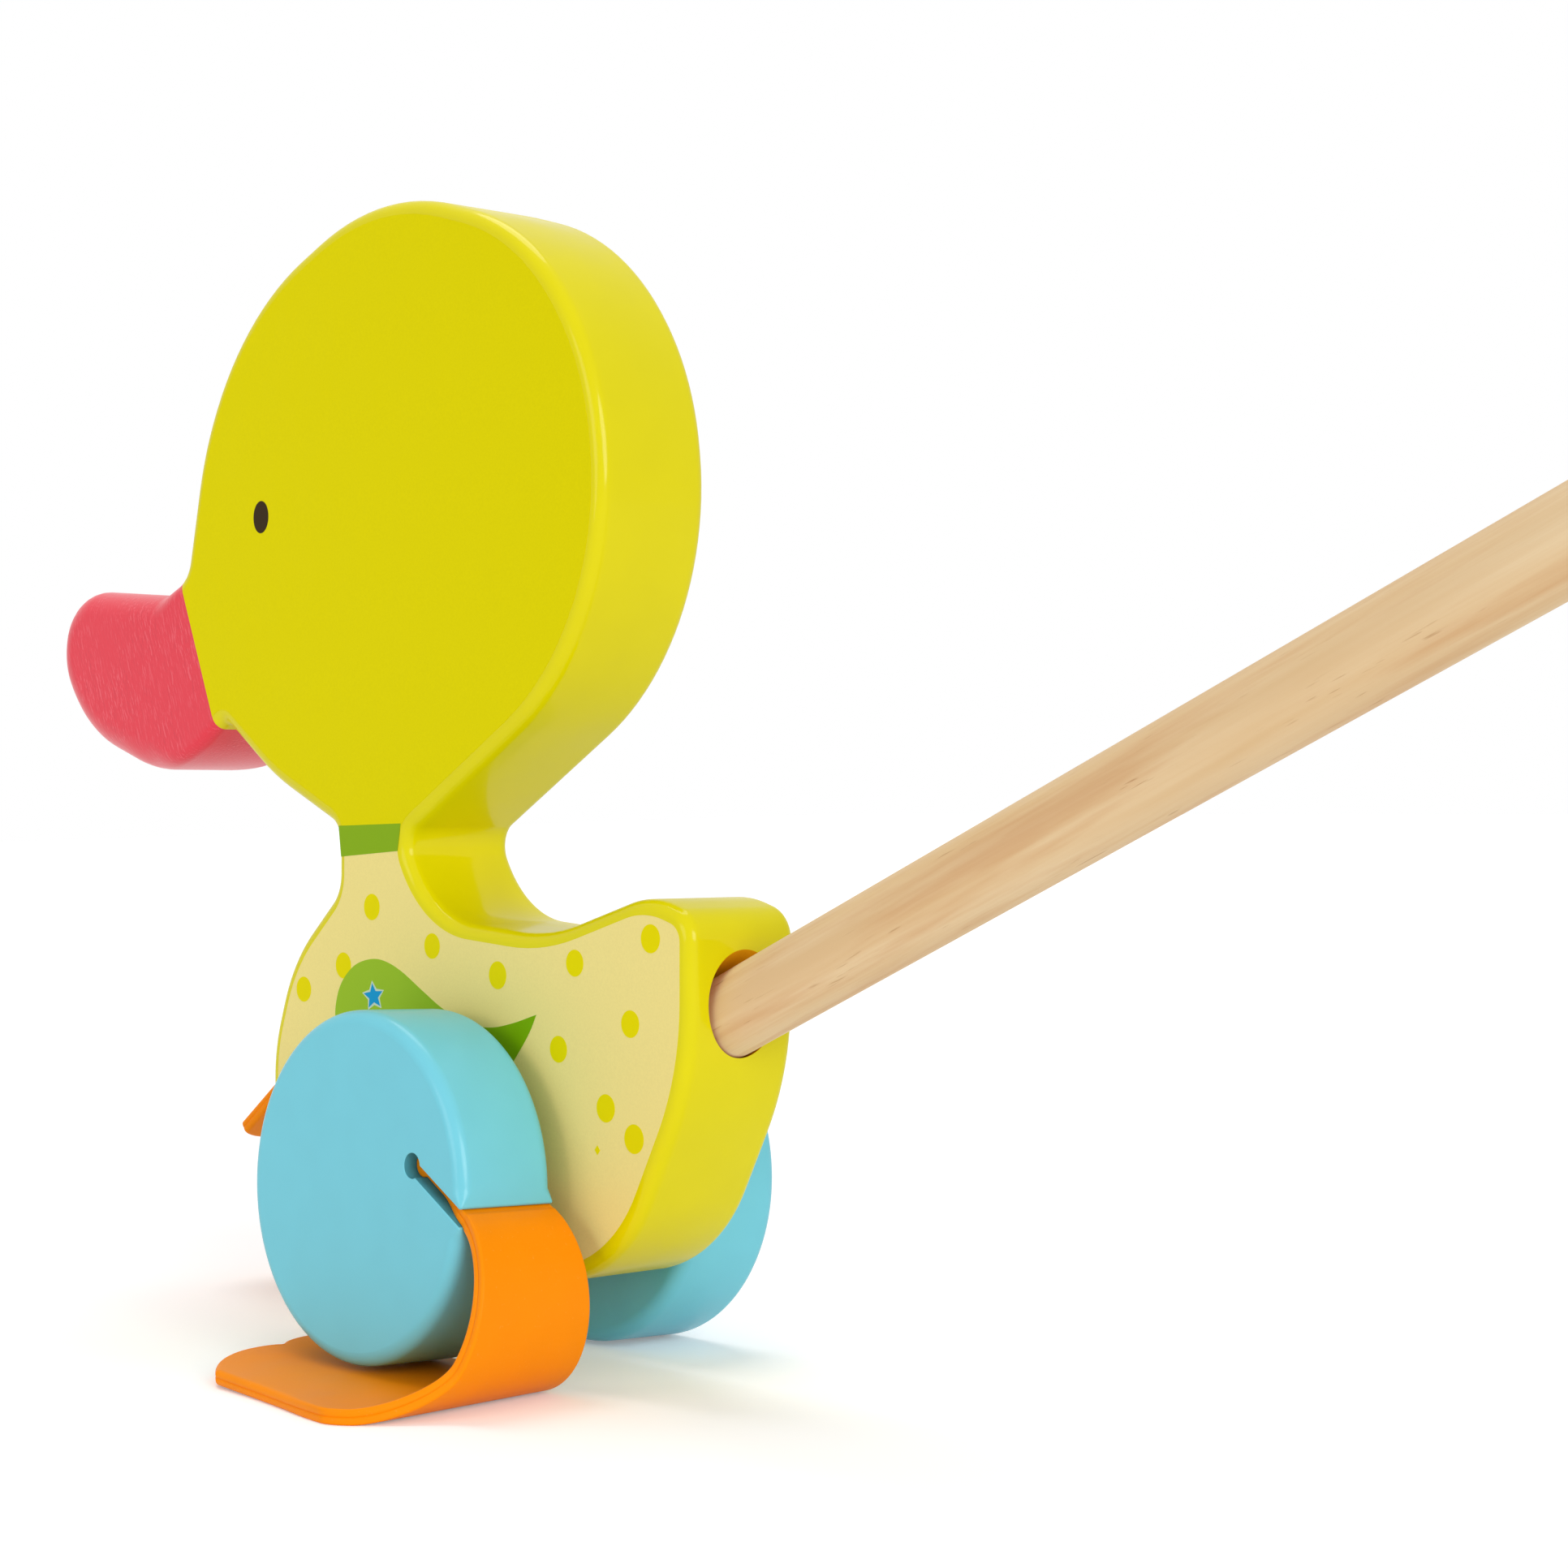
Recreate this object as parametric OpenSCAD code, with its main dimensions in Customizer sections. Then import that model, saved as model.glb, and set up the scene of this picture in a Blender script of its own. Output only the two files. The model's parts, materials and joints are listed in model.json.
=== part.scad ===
// Push-along duck: a wooden board on two wheels, each with a rubber foot that slaps the floor.
// The duck faces -X and its left side is -Y. The origin lies on the floor under the middle of the axle.

/* [Board] */
// Thickness of the duck's board
board_t = 24.5; // [18:0.5:30]
// Rounding of the board's edges
edge_r = 2.5; // [1:0.25:3]
// Rounding of the beak's edges
beak_edge_r = 6; // [2:0.25:7]
// Thickness of the printed film on each flat face
print_t = 0.2; // [0.1:0.05:0.4]
// Bare margin between the film and the start of the edge rounding
print_margin = 0.2; // [0:0.1:1]

/* [Outline] */
// Height of the head's top above the axle
head_top = 180.5; // [165:0.5:195]
// Back of the head, from the axle
head_back = 38.5; // [30:0.5:46]
// Front of the neck, from the axle
neck_front = -39; // [-43:0.5:-35]
// Back of the neck, from the axle
neck_back = -17; // [-21:0.5:-13]
// Back of the tail, from the axle
tail_x = 61.5; // [55:0.5:75]
// Height of the tail's top above the axle
tail_top = 52; // [50:0.5:58]
// Front of the chest, from the axle
chest_x = -61; // [-68:0.5:-56]
// Depth of the belly below the axle
belly = 15; // [10:0.5:17]
// Tip of the beak, from the axle
beak_tip = -141; // [-150:0.5:-134]
// Middle of the beak's seam, from the axle
seam_x = -87; // [-89:0.5:-86]
// Height of the middle of the beak's seam above the axle
seam_z = 99.5; // [97:0.5:102]
// Lean of the beak's seam from upright, in degrees
seam_tilt = 23; // [20:0.5:26]

/* [Wheels] */
// Diameter of a wheel
wheel_d = 62; // [56:0.5:76]
// Thickness of a wheel
wheel_t = 20; // [15:0.5:25]
// Rounding of a wheel's edges
wheel_edge_r = 2.5; // [0.5:0.25:3]
// Gap between the board and a wheel
wheel_gap = 4.25; // [3.5:0.25:8]
// Diameter of the axle
axle_d = 8; // [6:0.25:10]
// Slant of the axle in the board, in degrees
axle_slant = 1.86; // [0:0.02:2.4]
// Depth of the axle's end in a wheel
axle_seat = 12; // [8:0.5:13]
// Diameter of a spacer
spacer_d = 16; // [13:0.5:20]

/* [Feet] */
// Thickness of a foot
foot_t = 2.8; // [2:0.1:3.5]
// Thickness worn off the sole, which leaves it flat
sole_wear = 0.05; // [0.03:0.01:0.1]
// Length of a foot from the wheel's rim to its inner toe
foot_l = 97; // [92:1:104]
// Flare of the strip next to the wheel, in degrees
strip_flare = 15; // [8:1:18]
// Where the strip starts to widen into the paddle, from the wheel's rim
flare_start = 26; // [20:1:28]
// Where the paddle is at its full width, from the wheel's rim
flare_end = 46; // [40:1:50]
// Full width of the paddle
paddle_w = 42; // [38:0.5:44]
// Taper of the paddle towards its toes, in degrees
paddle_taper = 5.5; // [2:0.5:6]
// Width of the inner toe
inner_toe_w = 16; // [13:0.5:18]
// Tip of the outer toe, from the foot's inner edge
outer_tip = 20.5; // [20:0.5:26]
// How much shorter the outer toe is
outer_short = 2; // [0.5:0.25:2.5]
// Depth of the notch between the toes
toe_d = 3.2; // [3:0.1:6]
// Depth of the rounding at the outer corner
corner_d = 26; // [16:1:28]
// Where the standing foot's toes start to curl up, from the wheel's rim
curl_start = 60; // [55:1:75]
// Rise of the standing foot's toes
toe_lift = 1.2; // [0.5:0.1:2]
// Thickness of the tongue in the wheel's slot
tongue_t = 2.4; // [1.6:0.1:2.6]
// How much narrower the tongue is than the strip
tongue_step = 1.8; // [0.5:0.1:4]
// Length of the shoulder between the tongue and the strip
shoulder_l = 1.6; // [1:0.2:3]
// Diameter of the bead at the tongue's end
bead_d = 4.2; // [3.6:0.1:5]
// Gap between a foot's outer edge and the wheel's outer face
foot_recess = 0.8; // [0.5:0.1:3]
// Distance of the stop hole from the wheel's centre
stop_r = 17.8; // [15:0.2:20]
// Angle of the stop hole above level, in degrees
stop_angle = 17; // [10:1:24]
// Slope of the slot below level, in degrees
slot_angle = 30; // [24:1:34]
// Straight length of the standing foot outside the rim
lead = 2; // [1:0.5:4]
// Straight length of the free foot outside the rim
free_lead = 32; // [20:1:34]
// Bend radius of the free foot
free_r = 30; // [24:1:40]
// Bend angle of the free foot, in degrees
free_bend = 67; // [50:1:70]

/* [Stick] */
// Diameter of the stick
stick_d = 14; // [12:0.5:16]
// Length of the stick
stick_l = 480; // [380:5:620]
// Depth of the stick's end in the tail
stick_seat = 36; // [28:1:44]
// Height of the socket's mouth above the axle
stick_z = 33.7; // [30:0.5:36]
// Rise of the stick, in degrees
stick_rise = 23.3; // [18:0.1:28]
// Extra diameter of the socket's flared mouth
mouth_flare = 3; // [1:0.5:4]
// Diameter of the ball grip
grip_d = 34; // [28:1:42]
// Depth of the stick's end in the grip
grip_seat = 22; // [15:1:26]

/* [Fits] */
// Gap round a glued joint
glue_gap = 0.05; // [0.02:0.01:0.1]
// Gap between the tongue and the slot, on each side
slot_gap = 0.1; // [0.05:0.01:0.3]
// Gap between a wheel and the foot under it
seat_gap = 0.2; // [0.1:0.05:0.4]
// Running gap round the axle in the board
axle_gap = 0.1; // [0.05:0.01:0.1]
// Running gap between a spacer and the board's print
spacer_gap = 0.3; // [0.2:0.05:0.6]

/* [Hidden] */
$fn = 64;

yellow = [0.87, 0.84, 0.02];
red = [0.89, 0.29, 0.34];
cream = [0.86, 0.80, 0.46];
blue = [0.49, 0.79, 0.84];
orange = [0.99, 0.58, 0.10];
wood = [0.85, 0.73, 0.56];

// The left wheel stands on its foot and the right one on the floor, so the axle leans a little
wheel_r = wheel_d / 2;
wheel_in = board_t / 2 + wheel_gap;
wheel_out = wheel_in + wheel_t;
lean = asin((foot_t - sole_wear + seat_gap) / (wheel_in + wheel_out));
axle_z = (wheel_r - wheel_edge_r) * cos(lean) + (wheel_out - wheel_edge_r) * sin(lean) + wheel_edge_r;
axle_bore = axle_d + 2 * axle_gap;
spacer_t = wheel_gap - print_t - spacer_gap - spacer_d / 2 * tan(axle_slant);

// The wheels' own frame, from the middle of the axle: Y along the axle
module rolling() {
    translate([0, 0, axle_z])
        rotate([-lean, 0, 0])
            children();
}

// The board's own frame, from the middle of the axle: X to the grip, Y across the board
module standing() {
    translate([0, 0, axle_z])
        rotate([axle_slant - lean, 0, 0])
            children();
}

// Corners of the board's outline, clockwise seen from the left: from the axle, above it, corner radius
corners = [
    [-26.5, head_top + 3, 61],
    [head_back - 21.5, head_top - 9.5, 53],
    [head_back - 2, head_top - 35.5, 53],
    [head_back + 3.5, 97, 51],
    [neck_back - 1.5, 62, 4.5],
    [neck_back + 6.5, 47.5, 23],
    [22.5, 45, 50],
    [tail_x - 11.5, tail_top + 1, 20],
    [tail_x, tail_top - 2.5, 6],
    [tail_x, 22.5, 50],
    [tail_x - 20, -belly, 30],
    [chest_x + 14, -belly, 25.5],
    [chest_x - 3.5, 11, 33],
    [chest_x + 6.5, 38.5, 33],
    [neck_front, 52, 7],
    [neck_front, 64, 5],
    [-61, 73.5, 60],
    [-77.5, 84.8, 2.5],
    [-98.5, 72.2, 36],
    [beak_tip + 8.3, 83.2, 31],
    [beak_tip - 0.7, 97.5, 14.7],
    [beak_tip + 2.2, 114, 12.4],
    [-102, 111, 9],
    [-91.5, 113.5, 6.3],
    [-85.5, 139.5, 61],
    [-71, 165.5, 60]
];

function xy(p) = [p.x, p.y];
function unit(v) = v / norm(v);
function turned(v, a) = [v.x * cos(a) - v.y * sin(a), v.x * sin(a) + v.y * cos(a)];
function pick(list, i) = list[(i + len(list)) % len(list)];
function smooth(t) = let (k = max(0, min(1, t))) k * k * (3 - 2 * k);

// A corner's fillet, eased where two fillets would meet on one side
function to_next(c, i) = xy(pick(c, i + 1)) - xy(pick(c, i));
function half_angle(c, i) = acos(unit(-to_next(c, i - 1)) * unit(to_next(c, i))) / 2;
function reach(c, i) = pick(c, i)[2] / tan(half_angle(c, i));
function room(c, i) = min(1, 0.98 * norm(to_next(c, i)) / (reach(c, i) + reach(c, i + 1)));
function fillet(c, i) = pick(c, i)[2] * min(room(c, i - 1), room(c, i));

// Points of one rounded corner, each with its outward normal
function corner_points(c, i) =
    let (
        back = unit(-to_next(c, i - 1)),
        ahead = unit(to_next(c, i)),
        half = half_angle(c, i),
        r = fillet(c, i),
        mid = xy(c[i]) + unit(back + ahead) * r / sin(half),
        first = xy(c[i]) + back * r / tan(half) - mid,
        side = sign(cross(back, ahead)),
        turn = 180 - 2 * half,
        steps = max(2, ceil(turn / 8))
    )
    [for (k = [0:steps]) let (v = turned(first, -side * turn * k / steps)) [mid + v, side * v / r]];

outline = [for (i = [0:len(corners) - 1]) each corner_points(corners, i)];

// The seam parts the outline in two, where the beak's loop and the body's loop share two points
seam = [seam_x, seam_z];
seam_up = [-sin(seam_tilt), cos(seam_tilt)];
seam_step = 1.2;
function ahead_of_seam(p) = (seam - p) * [cos(seam_tilt), sin(seam_tilt)];
function on_beak(p) = ahead_of_seam(p) > 0 && norm(p - seam) < 70;
function crosses(i) = on_beak(outline[i][0]) != on_beak(pick(outline, i + 1)[0]);
function seam_point(i) =
    let (
        p = outline[i],
        q = pick(outline, i + 1),
        t = ahead_of_seam(p[0]) / (ahead_of_seam(p[0]) - ahead_of_seam(q[0])),
        n = unit(p[1] + (q[1] - p[1]) * t)
    )
    [p[0] + (q[0] - p[0]) * t, seam_up / (seam_up * n)];
seam_points = [for (i = [0:len(outline) - 1]) if (crosses(i)) seam_point(i)];
function clear_of_seam(p) = min([for (s = seam_points) norm(p - s[0])]) > seam_step;
function side_of_seam(beak) = [
    for (i = [0:len(outline) - 1])
        each concat(
            on_beak(outline[i][0]) == beak && clear_of_seam(outline[i][0]) ? [outline[i]] : [],
            crosses(i) ? [seam_point(i)] : []
        )
];
beak_line = side_of_seam(true);
body_line = side_of_seam(false);

// The beak is rounded more than the rest, from a little way past its seam
ease_from = 6;
ease_l = 14;
function edge_at(p) = edge_r + (beak_edge_r - edge_r) * smooth((seam_x - ease_from - p.x) / ease_l);
function inset(p, d) = p[0] - p[1] * d;

// One loop of a skin, on the edge rounding at angle a
function skin_loop(line, side, a) = [
    for (p = line)
        let (e = edge_at(p[0]), q = inset(p, e * (1 - cos(a))))
        [q.x, side * (board_t / 2 - e * (1 - sin(a))), q.y]
];

// Points from which the flat faces are filled: the head, the neck and the breast, or the beak alone
body_hubs = [[-25, 120], [(neck_front + neck_back) / 2, 58], [0, 20]];
beak_hubs = [[(seam_x + beak_tip) / 2, seam_z - 3]];
function hub_of(p, hubs) = len(hubs) == 1 || p.y > 64 ? 0 : p.y > 44 && p.x < neck_back + 7 ? 1 : 2;

module rounded_board(line, hubs) {
    loops = concat(
        [for (a = [90, 60, 30, 0]) skin_loop(line, -1, a)],
        [for (a = [0, 30, 60, 90]) skin_loop(line, 1, a)]
    );
    n = len(line);
    last = len(loops) - 1;
    sides = [
        for (k = [0:last - 1], i = [0:n - 1])
            let (a = k * n + i, b = k * n + (i + 1) % n)
            each [[a, a + n, b + n], [a, b + n, b]]
    ];
    middles = [for (y = [-board_t / 2, board_t / 2], h = hubs) [h.x, y, h.y]];
    function hub(i) = n * len(loops) + hub_of(line[i][0], hubs);
    near = [
        for (i = [0:n - 1])
            let (j = (i + 1) % n, a = hub(i), b = hub(j))
            each concat([[i, j, a]], a == b ? [] : [[j, b, a]])
    ];
    far = [for (f = near) [for (v = [f[2], f[1], f[0]]) v < n ? v + last * n : v + len(hubs)]];
    polyhedron(concat([for (loop = loops) each loop], middles), concat(sides, near, far));
}

module stick_line() {
    translate([tail_x, 0, stick_z])
        rotate([0, 90 - stick_rise, 0])
            children();
}

module stick_socket() {
    bore = stick_d + 2 * glue_gap;
    stick_line() {
        translate([0, 0, -stick_seat])
            cylinder(d = bore, h = stick_seat + stick_d);
        translate([0, 0, -stick_d / 2])
            cylinder(d1 = bore, d2 = bore + 2 * mouth_flare, h = stick_d);
    }
}

module axle_hole() {
    rotate([90 - axle_slant, 0, 0])
        translate([0, 0, -board_t])
            cylinder(d = axle_bore, h = 2 * board_t);
}

module duck_body() {
    color(yellow)
        standing()
            difference() {
                rounded_board(body_line, body_hubs);
                stick_socket();
                axle_hole();
            }
}

module beak() {
    color(red)
        standing()
            rounded_board(beak_line, beak_hubs);
}

// Film on a flat face, from the board's face outwards
module face_print(y) {
    standing()
        difference() {
            translate([0, y, 0])
                rotate([90, 0, 0])
                    linear_extrude(print_t)
                        polygon([for (p = body_line) inset(p, edge_at(p[0]) + print_margin)]);
            axle_hole();
        }
}

module left_print() {
    color(cream)
        face_print(-board_t / 2);
}

module right_print() {
    color(cream)
        face_print(board_t / 2 + print_t);
}

module axle() {
    half = wheel_in + axle_seat;
    color(wood)
        rolling()
            translate([0, half, 0])
                rotate([90, 0, 0])
                    cylinder(d = axle_d, h = 2 * half);
}

module spacer(side) {
    color(wood)
        rolling()
            rotate([-90 * side, 0, 0])
                translate([0, 0, wheel_in - spacer_t])
                    difference() {
                        cylinder(d = spacer_d, h = spacer_t);
                        translate([0, 0, -1])
                            cylinder(d = axle_d + 2 * glue_gap, h = spacer_t + 2);
                    }
}

module left_spacer() {
    spacer(-1);
}

module right_spacer() {
    spacer(1);
}

module wheel_profile() {
    square([wheel_r - wheel_edge_r, wheel_t]);
    translate([0, wheel_edge_r])
        square([wheel_r, wheel_t - 2 * wheel_edge_r]);
    for (y = [wheel_edge_r, wheel_t - wheel_edge_r])
        translate([wheel_r - wheel_edge_r, y])
            circle(wheel_edge_r);
}

stop = stop_r * [cos(stop_angle), sin(stop_angle)];
slot_dir = [cos(slot_angle), -sin(slot_angle)];
slot_w = tongue_t + 2 * slot_gap;
stop_d = bead_d + 2 * slot_gap;

// Length of the tongue, from the stop hole to the rim
tongue_l = -stop * slot_dir + sqrt(pow(stop * slot_dir, 2) - stop * stop + wheel_r * wheel_r);

module wheel(side) {
    color(blue)
        rolling()
            rotate([0, side > 0 ? 180 : 0, 0])
                difference() {
                    rotate([-90 * side, 0, 0])
                        translate([0, 0, wheel_in])
                            rotate_extrude()
                                intersection() {
                                    wheel_profile();
                                    square([wheel_r, wheel_t]);
                                }
                    rotate([-90 * side, 0, 0])
                        translate([0, 0, wheel_in - 1])
                            cylinder(d = axle_d + 2 * glue_gap, h = axle_seat + 1);
                    translate([stop.x, wheel_out + 1, stop.y])
                        rotate([90, 0, 0])
                            cylinder(d = stop_d, h = 2 * wheel_out + 2);
                    translate([stop.x, 0, stop.y])
                        rotate([0, slot_angle, 0])
                            translate([0, -wheel_out - 1, -slot_w / 2])
                                cube([wheel_r, 2 * wheel_out + 2, slot_w]);
                }
}

module left_wheel() {
    wheel(-1);
}

module right_wheel() {
    wheel(1);
}

// A foot's middle line: along the slot, straight on outside the rim, round one bend, then straight again.
// A bend is its straight lead, its radius and its angle.
function lead_point(bend) = stop + (tongue_l + bend[0]) * slot_dir;
stand_r = (lead_point([lead]).y + axle_z - foot_t / 2 + sole_wear) / (1 + cos(slot_angle));
stand_bend = [lead, stand_r, slot_angle - 180];
hang_bend = [free_lead, free_r, free_bend];
function bend_length(bend) = bend[1] * abs(bend[2]) * PI / 180;
function bend_share(s, bend) = max(0, min(1, (s - bend[0]) / bend_length(bend)));
function heading(s, bend) = -slot_angle + bend[2] * bend_share(s, bend);
function on_path(s, bend) =
    let (
        past = s - bend[0],
        along = past <= 0 ? past : max(0, past - bend_length(bend)),
        curve = bend[1] * sign(bend[2]),
        from = -slot_angle,
        to = heading(s, bend)
    )
    lead_point(bend) + curve * [sin(to) - sin(from), cos(from) - cos(to)] + along * [cos(to), sin(to)];

// A foot's half thickness along its length: bead, tongue, then the full sheet, rounded at the toes.
// The slot meets the rim at a slant, so the outer face is full a little before the inner one.
mouth_slant = slot_w / 2 * tan(acos((stop * slot_dir + tongue_l) / wheel_r));
function bead_half(s) = sqrt(max(0.2, pow(bead_d / 2, 2) - pow(s + tongue_l, 2)));
function sheet_half(s, face) =
    (tongue_t + (foot_t - tongue_t) * smooth(s + face * mouth_slant - slot_gap)) / 2;
function toe_share(s) = sqrt(max(0.1, 1 - pow(max(0, 1 - (foot_l - s) / (foot_t / 2)), 2)));
function half_t(s, face) =
    s < -tongue_l ? bead_half(s)
    : max(sheet_half(s, face) * toe_share(s), s < -shoulder_l ? bead_half(s) : 0);

// A foot's width from its inner edge: tongue, strip, then paddle
function strip_at(s) =
    wheel_t - foot_recess - tongue_step * (1 - smooth(s / shoulder_l + 1)) + max(0, s) * tan(strip_flare);
function paddle_at(s) = paddle_w - (s - flare_end) * tan(paddle_taper);
function width_at(s) =
    let (share = smooth((s - flare_start) / (flare_end - flare_start)))
    strip_at(s) * (1 - share) + paddle_at(s) * share;

// How far a toe is cut back at a place across the foot
function rounding(x) = 1 - sqrt(1 - pow(0.98 * x, 2));
function toe_cut(w, tip, edge, depth) = depth * rounding((w - tip) / (edge - tip)) / rounding(1);
function front_cut(w) =
    w < inner_toe_w ? toe_cut(w, inner_toe_w / 2, inner_toe_w, toe_d)
    : w < outer_tip ? outer_short + toe_cut(w, outer_tip, inner_toe_w, toe_d - outer_short)
    : outer_short + toe_cut(w, outer_tip, paddle_w, corner_d);
function curl(s) = toe_lift * pow(max(0, (s - curl_start) / (foot_l - curl_start)), 2);

stations = concat(
    [for (k = [-3:3]) -tongue_l + bead_d / 2 * sin(k * 25)],
    [for (k = [1:3]) -tongue_l + bead_d / 2 + k * (tongue_l - bead_d / 2 - shoulder_l) / 4],
    [for (k = [-4:4]) k * shoulder_l / 4],
    [for (k = [1:20]) shoulder_l + k * (flare_end - shoulder_l) / 20],
    [for (k = [1:10]) flare_end + k * (foot_l - foot_t / 2 - flare_end) / 10],
    [for (a = [40, 75]) foot_l - foot_t / 2 + foot_t / 2 * sin(a)]
);
columns = concat([0, 0.02, 0.05], [for (k = [1:14]) 0.05 + 0.9 * k / 14], [0.98, 1]);
function edge_share(u) = let (d = min(u, 1 - u)) d < 0.01 ? 0.45 : d < 0.03 ? 0.85 : 1;

// One point of a foot's skin: face is 1 on its outer side and -1 on the side next to the wheel.
// The left foot stands: it levels out through its bend, and its toes curl up.
function foot_point(s, u, face, side, bend) =
    let (
        stands = side < 0,
        w = u * width_at(s),
        t = s - front_cut(w) * smooth((s - flare_end) / (foot_l - flare_end)),
        to = heading(t, bend),
        rise = [0, stands ? curl(t) : 0],
        p = on_path(t, bend) + face * half_t(s, face) * edge_share(u) * [-sin(to), cos(to)] + rise,
        y = -wheel_in - w,
        tilt = lean * (stands ? 1 - smooth(bend_share(t, bend)) : 1),
        q = stands ? [p.x, y, p.y] : [-p.x, -y, -p.y]
    )
    [q.x, q.y * cos(tilt) + q.z * sin(tilt), q.z * cos(tilt) - q.y * sin(tilt) + axle_z];

module foot_sheet(side, bend) {
    rows = len(stations);
    cols = len(columns);
    toe = rows - 1;
    rim = cols - 1;
    points = [
        for (face = [1, -1], s = stations, u = columns)
            foot_point(s, u, face, side, bend)
    ];
    function at(face, i, j) = (face < 0 ? rows * cols : 0) + i * cols + j;
    function quad(a, b, c, d) = [[a, b, c], [a, c, d]];
    skins = [
        for (i = [0:toe - 1], j = [0:rim - 1])
            each concat(
                quad(at(1, i, j), at(1, i, j + 1), at(1, i + 1, j + 1), at(1, i + 1, j)),
                quad(at(-1, i, j), at(-1, i + 1, j), at(-1, i + 1, j + 1), at(-1, i, j + 1))
            )
    ];
    edges = [
        for (i = [0:toe - 1])
            each concat(
                quad(at(1, i, 0), at(1, i + 1, 0), at(-1, i + 1, 0), at(-1, i, 0)),
                quad(at(1, i, rim), at(-1, i, rim), at(-1, i + 1, rim), at(1, i + 1, rim))
            )
    ];
    ends = [
        for (j = [0:rim - 1])
            each concat(
                quad(at(1, 0, j), at(-1, 0, j), at(-1, 0, j + 1), at(1, 0, j + 1)),
                quad(at(1, toe, j), at(1, toe, j + 1), at(-1, toe, j + 1), at(-1, toe, j))
            )
    ];
    faces = concat(skins, edges, ends);
    polyhedron(points, side > 0 ? faces : [for (f = faces) [f[2], f[1], f[0]]]);
}

module left_foot() {
    color(orange)
        difference() {
            foot_sheet(-1, stand_bend);
            translate([-foot_l, -foot_l, -foot_t])
                cube([2 * foot_l, 2 * foot_l, foot_t]);
        }
}

module right_foot() {
    color(orange)
        foot_sheet(1, hang_bend);
}

module stick() {
    color(wood)
        standing()
            stick_line()
                translate([0, 0, -stick_seat])
                    cylinder(d = stick_d, h = stick_l);
}

module grip() {
    color(wood)
        standing()
            stick_line()
                translate([0, 0, stick_l - stick_seat - grip_seat])
                    difference() {
                        translate([0, 0, grip_d / 2 - 1])
                            sphere(d = grip_d);
                        translate([0, 0, -grip_d])
                            cylinder(d = stick_d + 2 * glue_gap, h = grip_d + grip_seat);
                    }
}

duck_body();
beak();
left_print();
right_print();
axle();
left_spacer();
right_spacer();
left_wheel();
right_wheel();
left_foot();
right_foot();
stick();
grip();
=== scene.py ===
import json
import math

import bmesh
import bpy
from mathutils import Matrix, Vector


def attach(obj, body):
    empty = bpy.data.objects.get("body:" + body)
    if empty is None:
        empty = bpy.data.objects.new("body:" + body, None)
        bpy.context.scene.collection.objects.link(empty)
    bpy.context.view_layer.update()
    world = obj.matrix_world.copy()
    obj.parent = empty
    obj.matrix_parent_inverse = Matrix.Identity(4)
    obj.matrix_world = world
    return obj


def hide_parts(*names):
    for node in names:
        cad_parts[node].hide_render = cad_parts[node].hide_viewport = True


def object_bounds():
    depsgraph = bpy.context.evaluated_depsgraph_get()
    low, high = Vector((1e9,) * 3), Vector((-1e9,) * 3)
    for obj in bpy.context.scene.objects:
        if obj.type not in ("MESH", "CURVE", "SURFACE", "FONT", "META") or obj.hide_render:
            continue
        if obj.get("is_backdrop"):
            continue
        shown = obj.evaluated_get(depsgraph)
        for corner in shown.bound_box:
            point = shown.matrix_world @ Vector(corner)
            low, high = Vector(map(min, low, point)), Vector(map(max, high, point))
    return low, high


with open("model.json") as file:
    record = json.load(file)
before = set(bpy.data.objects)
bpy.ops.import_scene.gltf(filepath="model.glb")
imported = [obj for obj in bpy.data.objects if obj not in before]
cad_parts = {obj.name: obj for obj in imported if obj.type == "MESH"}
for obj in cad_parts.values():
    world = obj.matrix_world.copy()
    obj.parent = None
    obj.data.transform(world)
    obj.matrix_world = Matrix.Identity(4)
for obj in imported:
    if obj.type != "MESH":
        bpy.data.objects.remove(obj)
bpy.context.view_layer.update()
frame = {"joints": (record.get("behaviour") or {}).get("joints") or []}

mm = 0.001
scene = bpy.context.scene
spin = frame["joints"][0]
axleZ = spin["pos_m"][2] / mm            # height of the axle above the floor
wheelLean = -math.asin(spin["axis"][2])  # the left wheel stands on its foot, so the axle leans
axleSlant = math.radians(1.86)           # the axle lies a little slanted in the board
boardLean = wheelLean - axleSlant
rolling = Matrix.Rotation(-wheelLean, 3, "X")
standing = Matrix.Rotation(-boardLean, 3, "X")
print("frame loaded, axle at", round(axleZ, 2), "mm, lean", round(math.degrees(wheelLean), 2))


# small helpers

def srgb(red, green, blue):
    def linear(c):
        c = c / 255
        return c / 12.92 if c <= 0.04045 else ((c + 0.055) / 1.055) ** 2.4
    return (linear(red), linear(green), linear(blue), 1)


def smooth(t):
    t = max(0.0, min(1.0, t))
    return t * t * (3 - 2 * t)


def addPiece(name, mesh, body, slot, *nodes):
    piece = bpy.data.objects.new(name, mesh)
    scene.collection.objects.link(piece)
    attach(piece, body)
    if nodes:
        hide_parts(*nodes)


def shade(mesh, sharp=32):
    mesh.polygons.foreach_set("use_smooth", [True] * len(mesh.polygons))
    mesh.set_sharp_from_angle(angle=math.radians(sharp))


def meshFrom(name, bm, *materials, sharp=32):
    # closes a built shape, turns its faces outwards and makes it a mesh
    bmesh.ops.remove_doubles(bm, verts=bm.verts, dist=1e-7)
    bmesh.ops.recalc_face_normals(bm, faces=bm.faces)
    mesh = bpy.data.meshes.new(name)
    bm.to_mesh(mesh)
    bm.free()
    for material in materials:
        mesh.materials.append(material)
    shade(mesh, sharp)
    return mesh


def evaluated(block, name):
    # the mesh that an object's modifiers make
    bpy.context.view_layer.update()
    graph = bpy.context.evaluated_depsgraph_get()
    shown = block.evaluated_get(graph)
    mesh = bpy.data.meshes.new_from_object(shown, preserve_all_data_layers=True, depsgraph=graph)
    mesh.name = name
    return mesh


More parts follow.
